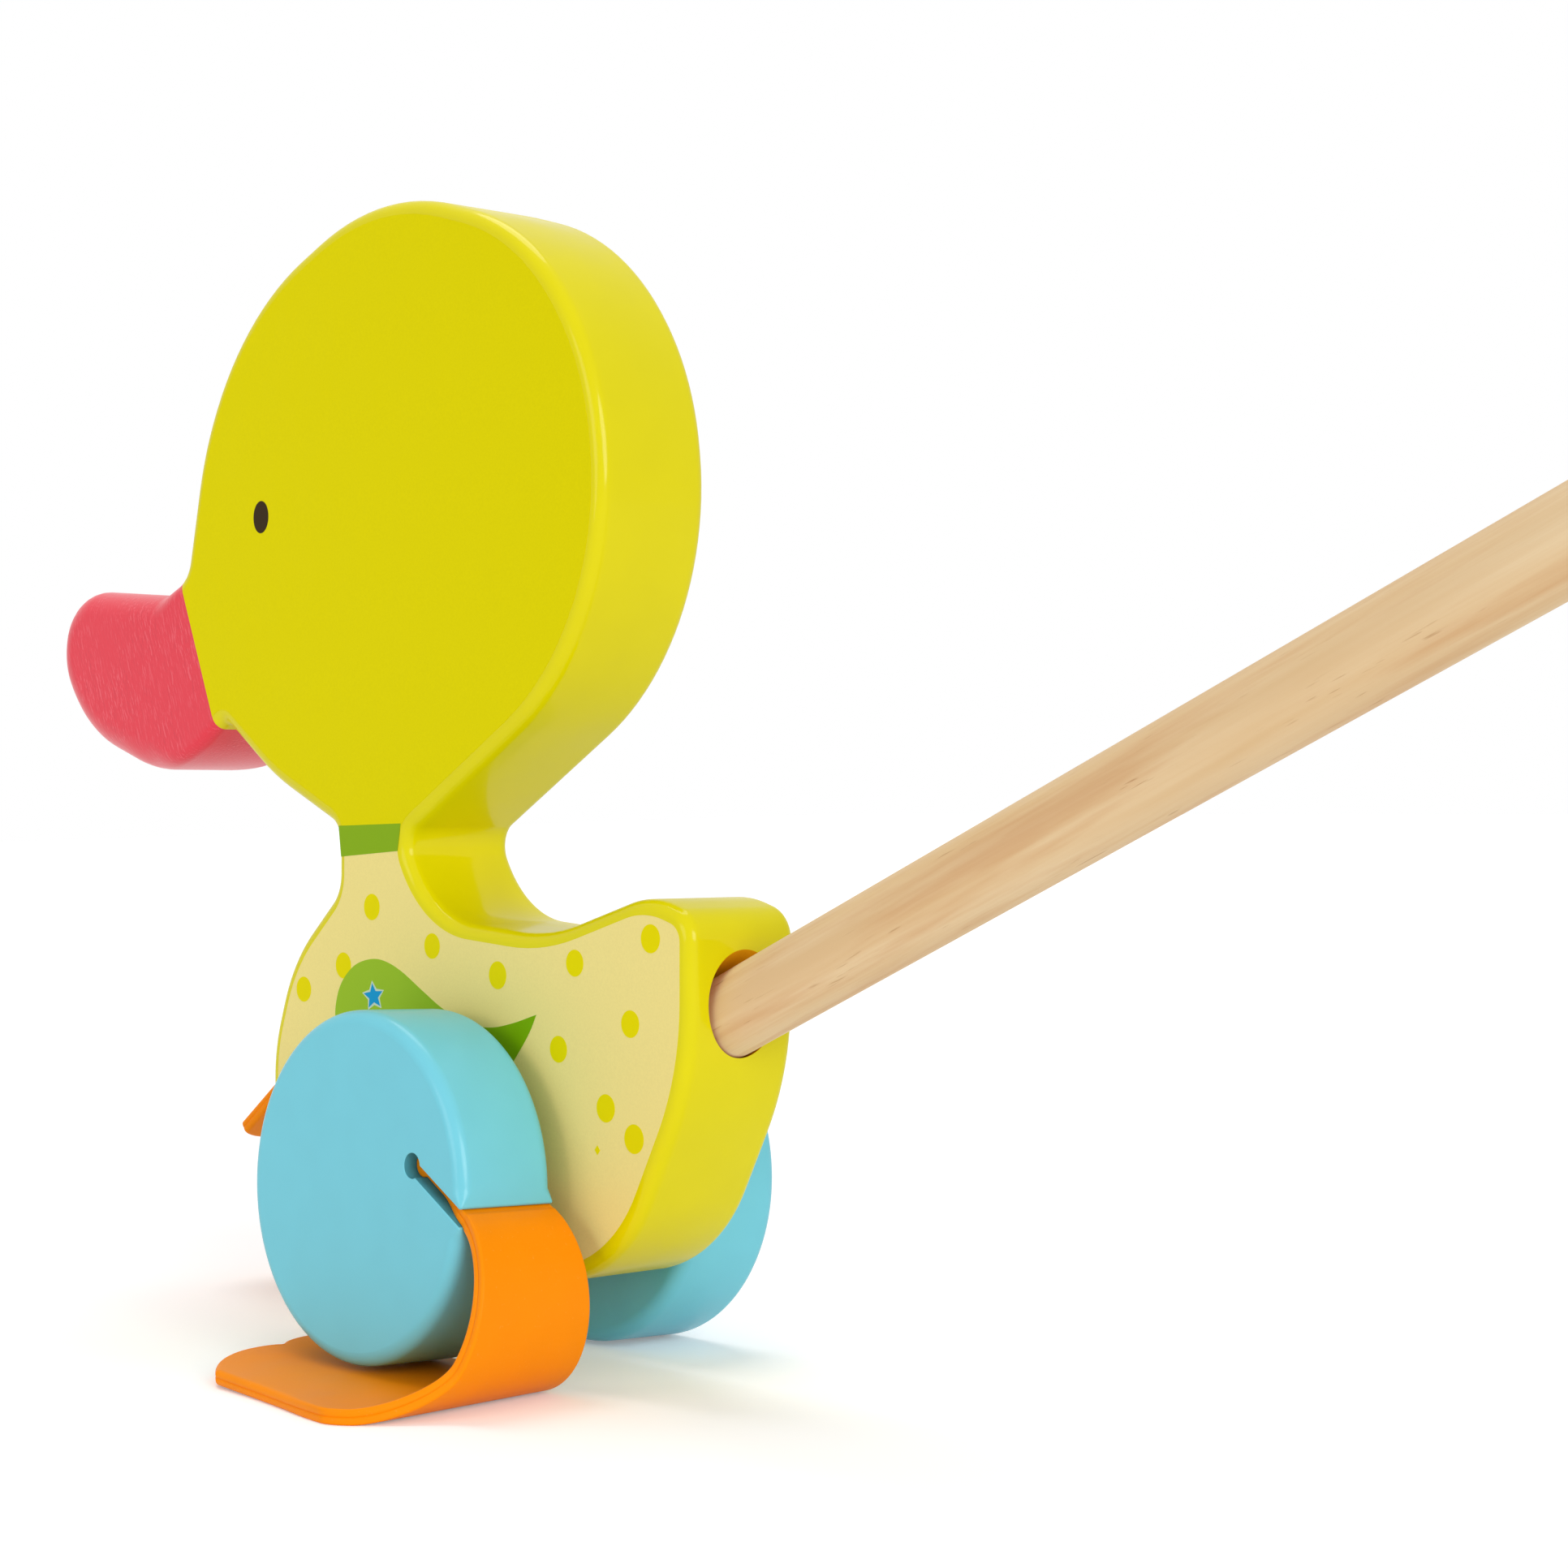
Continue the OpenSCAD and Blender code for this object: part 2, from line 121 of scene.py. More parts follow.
def carve(name, mesh, cutters):
    # cuts the cutter meshes out of a mesh, and their faces keep their own material
    block = bpy.data.objects.new(name, mesh)
    scene.collection.objects.link(block)
    tools = []
    for cutter in cutters:
        tool = bpy.data.objects.new(name + "Cutter", cutter)
        scene.collection.objects.link(tool)
        tools.append(tool)
        cut = block.modifiers.new("cut", "BOOLEAN")
        cut.operation = "DIFFERENCE"
        cut.solver = "EXACT"
        cut.material_mode = "TRANSFER"
        cut.object = tool
    result = evaluated(block, name)
    for used in tools + [block]:
        bpy.data.objects.remove(used)
    shade(result)
    return result


# material helpers

class Wiring:
    # adds nodes to a tree, with their inputs given as values or as other nodes' outputs
    across, down, perRow = 180, 220, 9  # the layout in the node editor

    def __init__(self, tree):
        self.tree = tree
        self.count = 0

    def add(self, kind, values=None, **settings):
        node = self.tree.nodes.new(kind)
        self.count += 1
        node.location = (self.across * (self.count % self.perRow), -self.down * (self.count // self.perRow))
        for key, value in settings.items():
            setattr(node, key, value)
        self.feed(node, values or {})
        return node

    def feed(self, node, values):
        for key, value in values.items():
            socket = node.inputs[key]
            if isinstance(value, bpy.types.NodeSocket):
                self.tree.links.new(value, socket)
            else:
                socket.default_value = value

    def math(self, operation, a, b=0.0, clamp=False):
        return self.add("ShaderNodeMath", {0: a, 1: b}, operation=operation, use_clamp=clamp).outputs[0]

    def mix(self, factor, a, b, blend="MIX"):
        node = self.add("ShaderNodeMix", {0: factor, 6: a, 7: b}, data_type="RGBA", blend_type=blend)
        return node.outputs[2]

    def ramp(self, value, low, high, toLow=0.0, toHigh=1.0):
        node = self.add("ShaderNodeMapRange", {0: value, 1: low, 2: high, 3: toLow, 4: toHigh})
        return node.outputs[0]

    def noise(self, vector, scale, detail=2.0, rough=0.5):
        values = {"Vector": vector, "Scale": scale, "Detail": detail, "Roughness": rough}
        return self.add("ShaderNodeTexNoise", values).outputs["Fac"]

    def stretch(self, vector, scale):
        return self.add("ShaderNodeVectorMath", {0: vector, 1: scale}, operation="MULTIPLY").outputs[0]

    def turn(self, vector, rotation):
        return self.add("ShaderNodeMapping", {"Vector": vector, "Rotation": rotation}).outputs[0]

    def place(self):
        return self.add("ShaderNodeTexCoord").outputs["Object"]

    def bump(self, height, strength, distance):
        values = {"Height": height, "Strength": strength, "Distance": distance}
        return self.add("ShaderNodeBump", values).outputs[0]


def newGroup(name, treeKind, inputs, outputs):
    # an empty node group with sockets of the given labels and kinds
    tree = bpy.data.node_groups.new(name, treeKind)
    for way, sockets in (("INPUT", inputs), ("OUTPUT", outputs)):
        for label, kind in sockets.items():
            tree.interface.new_socket(label, in_out=way, socket_type="NodeSocket" + kind)
    wires = Wiring(tree)
    return tree, wires, wires.add("NodeGroupInput").outputs, wires.add("NodeGroupOutput")


def newMaterial(name, coat=0.0, coatRough=0.03, specular=0.03):
    material = bpy.data.materials.new(name)
    material.use_nodes = True
    material.node_tree.nodes.clear()
    wires = Wiring(material.node_tree)
    fixed = {"Coat Weight": coat, "Coat Roughness": coatRough, "Specular IOR Level": specular}
    skin = wires.add("ShaderNodeBsdfPrincipled", fixed)
    wires.add("ShaderNodeOutputMaterial", {"Surface": skin.outputs[0]})
    return material, wires, skin


# sprayed paint: orange peel, and a slow ripple where the wood below isn't quite flat
peelTree, wires, given, out = newGroup(
    "paintPeel", "ShaderNodeTree",
    {"Vector": "Vector", "Peel": "Float", "Ripple": "Float"},
    {"Height": "Float", "Mottle": "Float"},
)
fine = wires.noise(given["Vector"], given["Peel"], 2.0)
slow = wires.noise(given["Vector"], given["Ripple"], 1.0)
height = wires.math("ADD", wires.math("MULTIPLY", fine, 0.35), slow)
wires.feed(out, {"Height": height, "Mottle": slow})

# wood along the X axis of the vector: slow figure, reddish flames, fine fibres and short dark pores
grainTree, wires, given, out = newGroup(
    "woodGrain", "ShaderNodeTree",
    {"Vector": "Vector"},
    {"Figure": "Float", "Flame": "Float", "Fibres": "Float", "Pores": "Float"},
)
along = given["Vector"]
figure = wires.noise(wires.stretch(along, (9, 150, 150)), 1.0, 3.0, 0.55)
bands = wires.noise(wires.stretch(along, (12, 170, 170)), 1.0, 4.0, 0.6)
flame = wires.ramp(bands, 0.48, 0.64)
fibres = wires.noise(wires.stretch(along, (55, 2600, 2600)), 1.0, 2.0, 0.6)
flecks = wires.noise(wires.stretch(along, (150, 2300, 2300)), 1.0, 1.0)
sparse = wires.noise(wires.stretch(along, (40, 260, 260)), 1.0, 1.0)
pores = wires.math("MULTIPLY", wires.ramp(flecks, 0.66, 0.76), wires.ramp(sparse, 0.5, 0.62))
wires.feed(out, {"Figure": figure, "Flame": flame, "Fibres": fibres, "Pores": pores})


def useGroup(wires, tree, values):
    return wires.add("ShaderNodeGroup", values, node_tree=tree).outputs


paintFinish = {
    "yellow": srgb(222, 210, 0),
    "blue": srgb(116, 203, 220),
    # slot: a darker blue, painted shade for the walls inside the slot
    "slot": srgb(84, 165, 180),
    "cream": srgb(239, 221, 140),
    "red": srgb(226, 34, 58),
    # the two reds below are a painted glint and painted shade for the beak's ridges
    "redPaintedGlint": srgb(248, 146, 160),
    "redPaintedShade": srgb(190, 34, 56),
    "leaf": srgb(150, 186, 44),
    "leafDark": srgb(120, 168, 6),
    "collar": srgb(134, 172, 30),
    "star": srgb(24, 150, 205),
    "starEdge": srgb(196, 214, 190),
    "eye": srgb(58, 44, 26),
    "dot": srgb(228, 214, 0),
}


def paint(name, colour, rough=0.36, coat=0.3, coatRough=0.1, peel=700.0, ripple=110.0,
          depth=0.00012, shift=0.05):
    material, wires, skin = newMaterial(name, coat, coatRough)
    parts = useGroup(wires, peelTree, {"Vector": wires.place(), "Peel": peel, "Ripple": ripple})
    darker = tuple(c * (1 - shift) for c in colour[:3]) + (1,)
    wires.feed(skin, {
        "Base Color": wires.mix(parts["Mottle"], darker, colour),
        "Roughness": wires.ramp(parts["Mottle"], 0.3, 0.7, rough - 0.05, rough + 0.05),
        "Normal": wires.bump(parts["Height"], 0.35, depth),
    })
    return material


yellowPaint = paint("yellowPaint", paintFinish["yellow"])
bluePaint = paint("bluePaint", paintFinish["blue"], 0.4, 0.4, 0.2, peel=620.0, ripple=140.0, depth=0.00016)
# the slot walls' darker, strongly mottled blue is painted shade of the recess
slotShadePaint = paint("slotShadePaint", paintFinish["slot"], 0.6, 0.0, 0.3, peel=900.0, ripple=400.0,
                  depth=0.0004, shift=0.3)
inkSet = {"rough": 0.42, "coat": 0.0, "peel": 1500.0, "ripple": 160.0, "depth": 0.00005, "shift": 0.03}
collarInk = paint("collarInk", paintFinish["collar"], **inkSet)
starInk = paint("starInk", paintFinish["star"], **inkSet)
starEdgeInk = paint("starEdgeInk", paintFinish["starEdge"], **inkSet)
eyeInk = paint("eyeInk", paintFinish["eye"], **inkSet)
dotInk = paint("dotInk", paintFinish["dot"], **inkSet)


def printSkin(wires, skin, here, colour):
    # the matt skin of the large printed areas
    parts = useGroup(wires, peelTree, {"Vector": here, "Peel": inkSet["peel"], "Ripple": inkSet["ripple"]})
    wires.feed(skin, {
        "Base Color": colour,
        "Roughness": wires.ramp(parts["Mottle"], 0.3, 0.7, 0.38, 0.46),
        "Normal": wires.bump(parts["Height"], 0.3, 0.00006),
    })


def facePrint(name, collarHeight):
    # cream on the body and yellow on the head, parted under the collar
    material, wires, skin = newMaterial(name)
    here = wires.place()
    up = wires.add("ShaderNodeSeparateXYZ", {0: here}).outputs[2]
    onHead = wires.math("GREATER_THAN", up, collarHeight)
    colour = wires.mix(onHead, paintFinish["cream"], paintFinish["yellow"])
    specks = wires.ramp(wires.noise(here, 2600.0, 1.0), 0.3, 0.7, 0.965, 1.0)
    shaded = wires.add("ShaderNodeCombineColor", {0: specks, 1: specks, 2: specks}).outputs[0]
    printSkin(wires, skin, here, wires.mix(1.0, colour, shaded, "MULTIPLY"))
    return material


def leafInk(name, start, end):
    # the wing darkens from its round front to its tip
    material, wires, skin = newMaterial(name)
    here = wires.place()
    across = wires.add("ShaderNodeSeparateXYZ", {0: here}).outputs[0]
    share = wires.ramp(across, start, end)
    printSkin(wires, skin, here, wires.mix(share, paintFinish["leaf"], paintFinish["leafDark"]))
    return material


def stainedBeak(name, tilt):
    # thin red paint over wood: short ridges run along the seam; each ridge gets a painted glint on one flank
    # and painted shade on the other
    material, wires, skin = newMaterial(name, coat=0.8, coatRough=0.3)
    along = wires.turn(wires.place(), (0, math.radians(90 + tilt), 0))
    grain = wires.stretch(along, (380, 1900, 1900))
    beside = wires.add("ShaderNodeVectorMath", {0: grain, 1: (0.05, 0.3, 0.3)}, operation="ADD").outputs[0]
    ridges = wires.noise(grain, 1.0, 2.0, 0.55)
    slope = wires.math("SUBTRACT", ridges, wires.noise(beside, 1.0, 2.0, 0.55))
    broad = wires.ramp(wires.noise(wires.stretch(along, (70, 160, 160)), 1.0, 2.0), 0.35, 0.6, 0.25, 1.0)
    # painted glint and painted shade: the noise's slope across the ridges lightens one flank and darkens the
    # other
    lit = wires.math("MULTIPLY", wires.ramp(slope, 0.05, 0.16), broad)
    shaded = wires.math("MULTIPLY", wires.ramp(slope, -0.05, -0.18), broad)
    colour = wires.mix(wires.math("MULTIPLY", lit, 0.22), paintFinish["red"], paintFinish["redPaintedGlint"])
    wires.feed(skin, {
        "Base Color": wires.mix(wires.math("MULTIPLY", shaded, 0.3), colour, paintFinish["redPaintedShade"]),
        "Roughness": wires.ramp(ridges, 0.3, 0.7, 0.4, 0.5),
        "Normal": wires.bump(ridges, 0.5, 0.0002),
    })
    return material


def bareWood(name, rotation, pale, tan, flame, pore):
    # lacquered birch with its grain along the turned X axis
    material, wires, skin = newMaterial(name, coat=0.12, coatRough=0.35)
    parts = useGroup(wires, grainTree, {"Vector": wires.turn(wires.place(), rotation)})
    colour = wires.mix(wires.ramp(parts["Figure"], 0.32, 0.62), pale, tan)
    colour = wires.mix(wires.math("MULTIPLY", parts["Flame"], 0.6), colour, flame)
    fibred = wires.mix(wires.ramp(parts["Fibres"], 0.35, 0.75, 0.0, 0.3), colour, tan)
    height = wires.math("SUBTRACT", wires.math("MULTIPLY", parts["Fibres"], 0.4), parts["Pores"])
    wires.feed(skin, {
        "Base Color": wires.mix(wires.math("MULTIPLY", parts["Pores"], 0.5), fibred, pore),
        "Roughness": wires.ramp(parts["Fibres"], 0.3, 0.7, 0.46, 0.58),
        "Normal": wires.bump(height, 0.3, 0.0001),
    })
    return material


def softRubber(name, colour):
    # moulded rubber: an even matt skin with tiny pale specks
    material, wires, skin = newMaterial(name, specular=0.08)
    here = wires.place()
    specks = wires.ramp(wires.noise(here, 1900.0, 1.0), 0.7, 0.78)
    cloud = wires.noise(here, 60.0, 2.0)
    darker = tuple(c * 0.93 for c in colour[:3]) + (1,)
    pale = tuple(min(1, c * 1.1 + 0.05) for c in colour[:3]) + (1,)
    tone = wires.mix(wires.ramp(cloud, 0.3, 0.7), darker, colour)
    wires.feed(skin, {
        "Base Color": wires.mix(wires.math("MULTIPLY", specks, 0.4), tone, pale),
        "Roughness": wires.ramp(cloud, 0.3, 0.7, 0.42, 0.5),
        "Normal": wires.bump(wires.noise(here, 2400.0, 2.0), 0.25, 0.00006),
    })
    return material


woodTones = {
    "pale": srgb(232, 206, 166),
    "tan": srgb(220, 186, 140),
    "flame": srgb(206, 156, 108),
    "pore": srgb(170, 118, 74),
}
rubberOrange = softRubber("rubberOrange", srgb(253, 144, 2))
print("materials made")


# outlines, in millimetres, as (point, outward normal)

def filletOutline(corners, step):
    # a clockwise polygon of [x, z, radius] with its corners rounded, eased where two would meet
    count = len(corners)
    spots = [Vector(c[:2]) for c in corners]
    ahead = [(spots[(i + 1) % count] - spots[i]) for i in range(count)]
    halves = [(-ahead[i - 1]).angle(ahead[i]) / 2 for i in range(count)]
    reach = [corners[i][2] / math.tan(halves[i]) for i in range(count)]
    usable = 0.98  # the share of a side that its two roundings may take
    room = [min(1, usable * ahead[i].length / (reach[i] + reach[(i + 1) % count])) for i in range(count)]
    line = []
    for i in range(count):
        radius = corners[i][2] * min(room[i - 1], room[i])
        before, after = -ahead[i - 1].normalized(), ahead[i].normalized()
        middle = spots[i] + (before + after).normalized() * radius / math.sin(halves[i])
        first = spots[i] + before * radius / math.tan(halves[i]) - middle
        side = 1 if before.cross(after) > 0 else -1
        turn = math.pi - 2 * halves[i]
        steps = max(3, math.ceil(math.degrees(turn) / step))
        for k in range(steps + 1):
            arm = first.copy()
            arm.rotate(Matrix.Rotation(-side * turn * k / steps, 2))
            line.append((middle + arm, side * arm / radius))
    return line


def arcLine(centre, radius, start, end, step, side=1):
    # an arc between two angles in degrees; side is -1 where the material lies outside it
    steps = max(2, math.ceil(abs(end - start) / step))
    line = []
    for k in range(steps + 1):
        angle = math.radians(start + (end - start) * k / steps)
        arm = Vector((math.cos(angle), math.sin(angle)))
        line.append((Vector(centre) + arm * radius, arm * side))
    return line


def withNormals(spots):
    # outward normals of a dense clockwise loop of points
    line = []
    for i, spot in enumerate(spots):
        along = (spots[(i + 1) % len(spots)] - spots[i - 1]).normalized()
        line.append((spot, Vector((-along.y, along.x))))
    return line


def slab(line, near, far, edges, place, steps=8, lip=0.25, groove=None):
    # a plate with rounded edges: loops run from one flat face to the other
    bm = bmesh.new()
    levels = [(1, math.pi / 2, lip)]
    levels += [(1, math.pi / 2 * (1 - k / steps), 0) for k in range(steps + 1)]
    if groove:
        levels += [(0, d, groove["depth"] * inner) for d, inner in groove["profile"]]
    levels += [(-1, math.pi / 2 * k / steps, 0) for k in range(steps + 1)]
    levels += [(-1, math.pi / 2, lip)]
    loops = []
    for end, angle, extra in levels:
        loop = []
        for i, (spot, normal) in enumerate(line):
            edge = edges[i]
            inset = extra if end == 0 else edge * (1 - math.cos(angle)) + extra
            depth = edge * (1 - math.sin(angle))
            height = (near + far) / 2 + angle if end == 0 else near + depth if end > 0 else far - depth
            flat = spot - normal * inset
            loop.append(bm.verts.new(place(flat.x, flat.y, height)))
        loops.append(loop)
    count = len(line)
    for low, high in zip(loops, loops[1:]):
        for i in range(count):
            j = (i + 1) % count
            bm.faces.new((low[i], low[j], high[j], high[i]))
    bm.faces.new(loops[0])
    bm.faces.new(loops[-1])
    return bm


def lathe(profile, place, sides=96):
    # turns a closed profile of (radius, height) about its axis
    bm = bmesh.new()
    rings = []
    for k in range(sides):
        angle = 2 * math.pi * k / sides
        rings.append([
            bm.verts.new(place(r * math.cos(angle), r * math.sin(angle), h)) for r, h in profile
        ])
    for k in range(sides):
        now, then = rings[k], rings[(k + 1) % sides]
        for i in range(len(profile)):
            j = (i + 1) % len(profile)
            if profile[i][0] < 1e-9 and profile[j][0] < 1e-9:
                continue
            bm.faces.new((now[i], now[j], then[j], then[i]))
    return bm


# duck board and beak

duck = {
    "thick": 24.5,
    "edge": 2.5,
    "beakEdge": 6.0,
    "easeFrom": 6.0,
    "easeOver": 14.0,
    "seam": Vector((-87.0, 99.5)),
    "seamTilt": 23.0,
    "seamClear": 1.2,
    "beakReach": 70.0,
    "bore": 4.1,
    "boreOver": 5.0,
    "arcStep": 3.0,
    "film": 0.05,
    "filmMargin": 0.2,
}
duckCorners = [
    (-26.5, 183.5, 61), (17, 171, 53), (36.5, 145, 53), (42, 97, 51),            # crown and back of the head
    (-18.5, 62, 4.5), (-10.5, 47.5, 23), (22.5, 45, 50), (50, 53, 20),           # nape and saddle
    (61.5, 49.5, 6), (61.5, 22.5, 50), (41.5, -15, 30), (-47, -15, 25.5),        # tail and belly
    (-64.5, 11, 33), (-54.5, 38.5, 33), (-39, 52, 7), (-39, 64, 5),              # chest and throat
    (-61, 73.5, 60), (-77.5, 84.8, 2.5), (-98.5, 72.2, 36), (-132.7, 83.2, 31),  # chin and lower beak
    (-141.7, 97.5, 14.7), (-138.8, 114, 12.4), (-102, 111, 9),                   # tip and upper beak
    (-91.5, 113.5, 6.3), (-85.5, 139.5, 61), (-71, 165.5, 60),                   # brow and face
]


def splitAtSeam(line):
    # the body's loop and the beak's loop share two points on the seam, mitred along it
    seam, tilt = duck["seam"], math.radians(duck["seamTilt"])
    forward = Vector((-math.cos(tilt), -math.sin(tilt)))
    upward = Vector((-math.sin(tilt), math.cos(tilt)))
    def onBeak(spot):
        return (spot - seam).dot(forward) > 0 and (spot - seam).length < duck["beakReach"]
    crossings = {}
    for i, (spot, normal) in enumerate(line):
        nextSpot, nextNormal = line[(i + 1) % len(line)]
        if onBeak(spot) != onBeak(nextSpot):
            here, there = (spot - seam).dot(forward), (nextSpot - seam).dot(forward)
            share = here / (here - there)
            middle = normal.lerp(nextNormal, share).normalized()
            crossings[i] = (spot.lerp(nextSpot, share), upward / upward.dot(middle))
    parts = {True: [], False: []}
    for i, (spot, normal) in enumerate(line):
        if min((spot - c[0]).length for c in crossings.values()) > duck["seamClear"]:
            parts[onBeak(spot)].append((spot, normal))
        if i in crossings:
            parts[True].append(crossings[i])
            parts[False].append(crossings[i])
    return parts[False], parts[True]


def boardEdges(line):
    # the beak's edges are rounder, and the rounding grows from a little past the seam
    start, more = duck["seam"].x - duck["easeFrom"], duck["beakEdge"] - duck["edge"]
    return [duck["edge"] + more * smooth((start - spot.x) / duck["easeOver"]) for spot, normal in line]


def upright(x, z, y):
    # a point of the board, from the middle of the axle
    return (standing @ Vector((x, y, z)) + Vector((0, 0, axleZ))) * mm


def rolled(x, z, y):
    # a point of the wheels, from the middle of the axle
    return (rolling @ Vector((x, y, z)) + Vector((0, 0, axleZ))) * mm


duckLine, beakLine = splitAtSeam(filletOutline(duckCorners, duck["arcStep"]))
half = duck["thick"] / 2

# stick and its socket share one line
stick = {
    "radius": 7.0,
    "length": 480.0,
    "seat": 36.0,
    "mouth": Vector((61.5, 0, 33.7)),
    "rise": 23.3,
    "fit": 0.12,
    "flare": 3.0,
    "flareFrom": -7.0,
    "flareLong": 14.0,
    "flareCurve": 1.6,
    "flareSteps": 8,
    "cutOut": 24.0,
    "seatGap": 0.1,
    "ends": 0.8,
}
stickAxis = Vector((math.cos(math.radians(stick["rise"])), 0, math.sin(math.radians(stick["rise"]))))
stickUp = Vector((-stickAxis.z, 0, stickAxis.x))
stickGrain = (boardLean, math.radians(stick["rise"]), 0)
socketTones = {
    "pale": srgb(246, 180, 18),
    "tan": srgb(240, 168, 12),
    "flame": srgb(230, 150, 8),
    "pore": srgb(190, 120, 10),
}
socketWood = bareWood("socketWood", stickGrain, **socketTones)


def onStick(a, b, h):
    # a point about the stick's line, with h along it from the socket's mouth
    spot = stick["mouth"] + stickAxis * h + stickUp * a
    return upright(spot.x, spot.z, b)


def socketCutter():
    # the stick's bore, flared at its mouth
    bore, low, steps = stick["radius"] + stick["fit"], stick["flareFrom"], stick["flareSteps"]
    profile = [(0, -stick["seat"]), (bore, -stick["seat"]), (bore, low)]
    for k in range(1, steps + 1):
        share = k / steps
        wide = bore + stick["flare"] * share ** stick["flareCurve"]
        profile.append((wide, low + stick["flareLong"] * share))
    profile += [(bore + stick["flare"], stick["cutOut"]), (0, stick["cutOut"])]
    return meshFrom("socketCutter", lathe(profile, onStick), socketWood)


def boreCutter():
    # the hole that the axle turns in
    radius, reach = duck["bore"], half + duck["boreOver"]
    profile = [(0, -reach), (radius, -reach), (radius, reach), (0, reach)]
    return meshFrom("boreCutter", lathe(profile, rolled, 64), socketWood)


bodyMesh = meshFrom("duckBody", slab(duckLine, -half, half, boardEdges(duckLine), upright), yellowPaint)
bodyMesh = carve("duckBody", bodyMesh, [socketCutter(), boreCutter()])
addPiece("duckBody", bodyMesh, "duck", "yellow_paint", "duck_body")

beakRed = stainedBeak("beakRed", duck["seamTilt"])
beakMesh = meshFrom("beakBlock", slab(beakLine, -half, half, boardEdges(beakLine), upright), beakRed)
addPiece("beakBlock", beakMesh, "duck", "red_stain", "beak")
print("board and beak made")


# printed faces

art = {
    "ink": 0.03,
    "sunk": 0.02,
    "collarTop": [(-38.1, 64.2), (-18.6, 64.7)],
    "collarLow": [(-37.3, 58.4), (-19.6, 59.6)],
    "eye": (-64.1, 124.3),
    "eyeSize": (5.1, 6.3),
    "eyeSides": 48,
    "star": (-26.9, 32.5),
    "starSize": (3.1, 2.45),
    "starInner": 0.46,
    "starRim": 0.5,
    "starInk": 0.02,
    "starTilt": 8.0,
    "dotRadius": 2.4,
    "dotSides": 40,
    "dotSpread": (0.96, 1.05),
    "dotThin": 0.9,
    "dots": [(-27.5, 49.1), (-9, 42.4), (10.2, 37.8), (31.6, 40.7), (51.5, 45.5), (46.3, 30.9),
             (27.2, 25.6), (39.9, 16.2), (47.3, 11.5), (-36.5, 37.9), (-49.4, 32.9), (-44, 14),
             (-28, -4), (6, -6)],
    "wing": [(21.1, 31.3), (19.2, 28.1), (15.8, 24), (10.5, 18.5), (2, 13.2), (-9, 10.6), (-21, 11.2),
             (-31, 15), (-37, 21), (-39, 27.5), (-38.6, 31.6), (-36.7, 35.1), (-32.8, 38.1),
             (-27.7, 39.4), (-23.2, 39.1), (-18.2, 37.4), (-12, 34.2), (-5.9, 31.2), (1, 28.9),
             (7.7, 28.4), (14.1, 29.4)],
    "wingFade": (-20, 16),
    "fleck": (37.7, 8.9),
    "fleckSize": (0.75, 0.85),
}


def film(name, line, low, high, *materials):
    # a thin flat sheet of ink with square edges
    bm = bmesh.new()
    lower = [bm.verts.new(upright(p.x, p.y, low)) for p in line]
    upper = [bm.verts.new(upright(p.x, p.y, high)) for p in line]
    for i in range(len(line)):
        j = (i + 1) % len(line)
        bm.faces.new((lower[i], lower[j], upper[j], upper[i]))
    bm.faces.new(lower)
    bm.faces.new(upper)
    return meshFrom(name, bm, *materials)


def dotTree():
    # ink dots: one flat disc on each point of the given mesh
    tree, wires, given, out = newGroup(
        "inkDots", "GeometryNodeTree",
        {"Geometry": "Geometry", "Radius": "Float", "Ink": "Float", "Turn": "Rotation",
         "Material": "Material"},
        {"Geometry": "Geometry"},
    )
    shape = {"Vertices": art["dotSides"], "Radius": given["Radius"], "Depth": given["Ink"]}
    disc = wires.add("GeometryNodeMeshCylinder", shape)
    least, most = art["dotSpread"]
    size = wires.add("FunctionNodeRandomValue", {2: least, 3: most, "Seed": 4}, data_type="FLOAT")
    spread = wires.add("GeometryNodeInstanceOnPoints", {
        "Points": given["Geometry"],
        "Instance": disc.outputs["Mesh"],
        "Rotation": given["Turn"],
        "Scale": size.outputs[1],
    })
    solid = wires.add("GeometryNodeRealizeInstances", {"Geometry": spread.outputs[0]}).outputs[0]
    inked = wires.add("GeometryNodeSetMaterial", {"Geometry": solid, "Material": given["Material"]})
    wires.feed(out, {"Geometry": inked.outputs[0]})
    return tree


def useTree(name, mesh, tree, values):
    # the mesh that a geometry node group makes of a mesh
    block = bpy.data.objects.new(name, mesh)
    scene.collection.objects.link(block)
    nodes = block.modifiers.new("nodes", "NODES")
    nodes.node_group = tree
    for item in tree.interface.items_tree:
        if item.item_type == "SOCKET" and item.in_out == "INPUT" and item.name in values:
            nodes[item.identifier] = values[item.name]
    result = evaluated(block, name)
    bpy.data.objects.remove(block)
    shade(result)
    return result


def starLine(extra):
    # the star is a little wider than tall; extra widens it into its pale rim
    wide, tall = art["starSize"]
    spots = []
    for k in range(10):
        angle = math.radians(90 + art["starTilt"] - 36 * k)
        share = 1 if k % 2 == 0 else art["starInner"]
        arm = Vector((math.cos(angle) * (wide * share + extra), math.sin(angle) * (tall * share + extra)))
        spots.append(Vector(art["star"]) + arm)
    return spots


def throughPoints(points, steps=8):
    # a closed curve through the points, with its one sharp corner at the first
    spots = [Vector(p) for p in points] + [Vector(points[0])]
    line = []
    for i in range(len(spots) - 1):
        a, b = spots[i], spots[i + 1]
        before = spots[i - 1] if i else a * 2 - b
        after = spots[i + 2] if i + 2 < len(spots) else b * 2 - a
        for k in range(steps):
            t = k / steps
            line.append((a * 2 + (b - before) * t + (before * 2 - a * 5 + b * 4 - after) * t ** 2
                         + (a * 3 - before - b * 3 + after) * t ** 3) / 2)
    return line


def insetLine(line, margin):
    return [p - n * (e + margin) for (p, n), e in zip(line, boardEdges(line))]


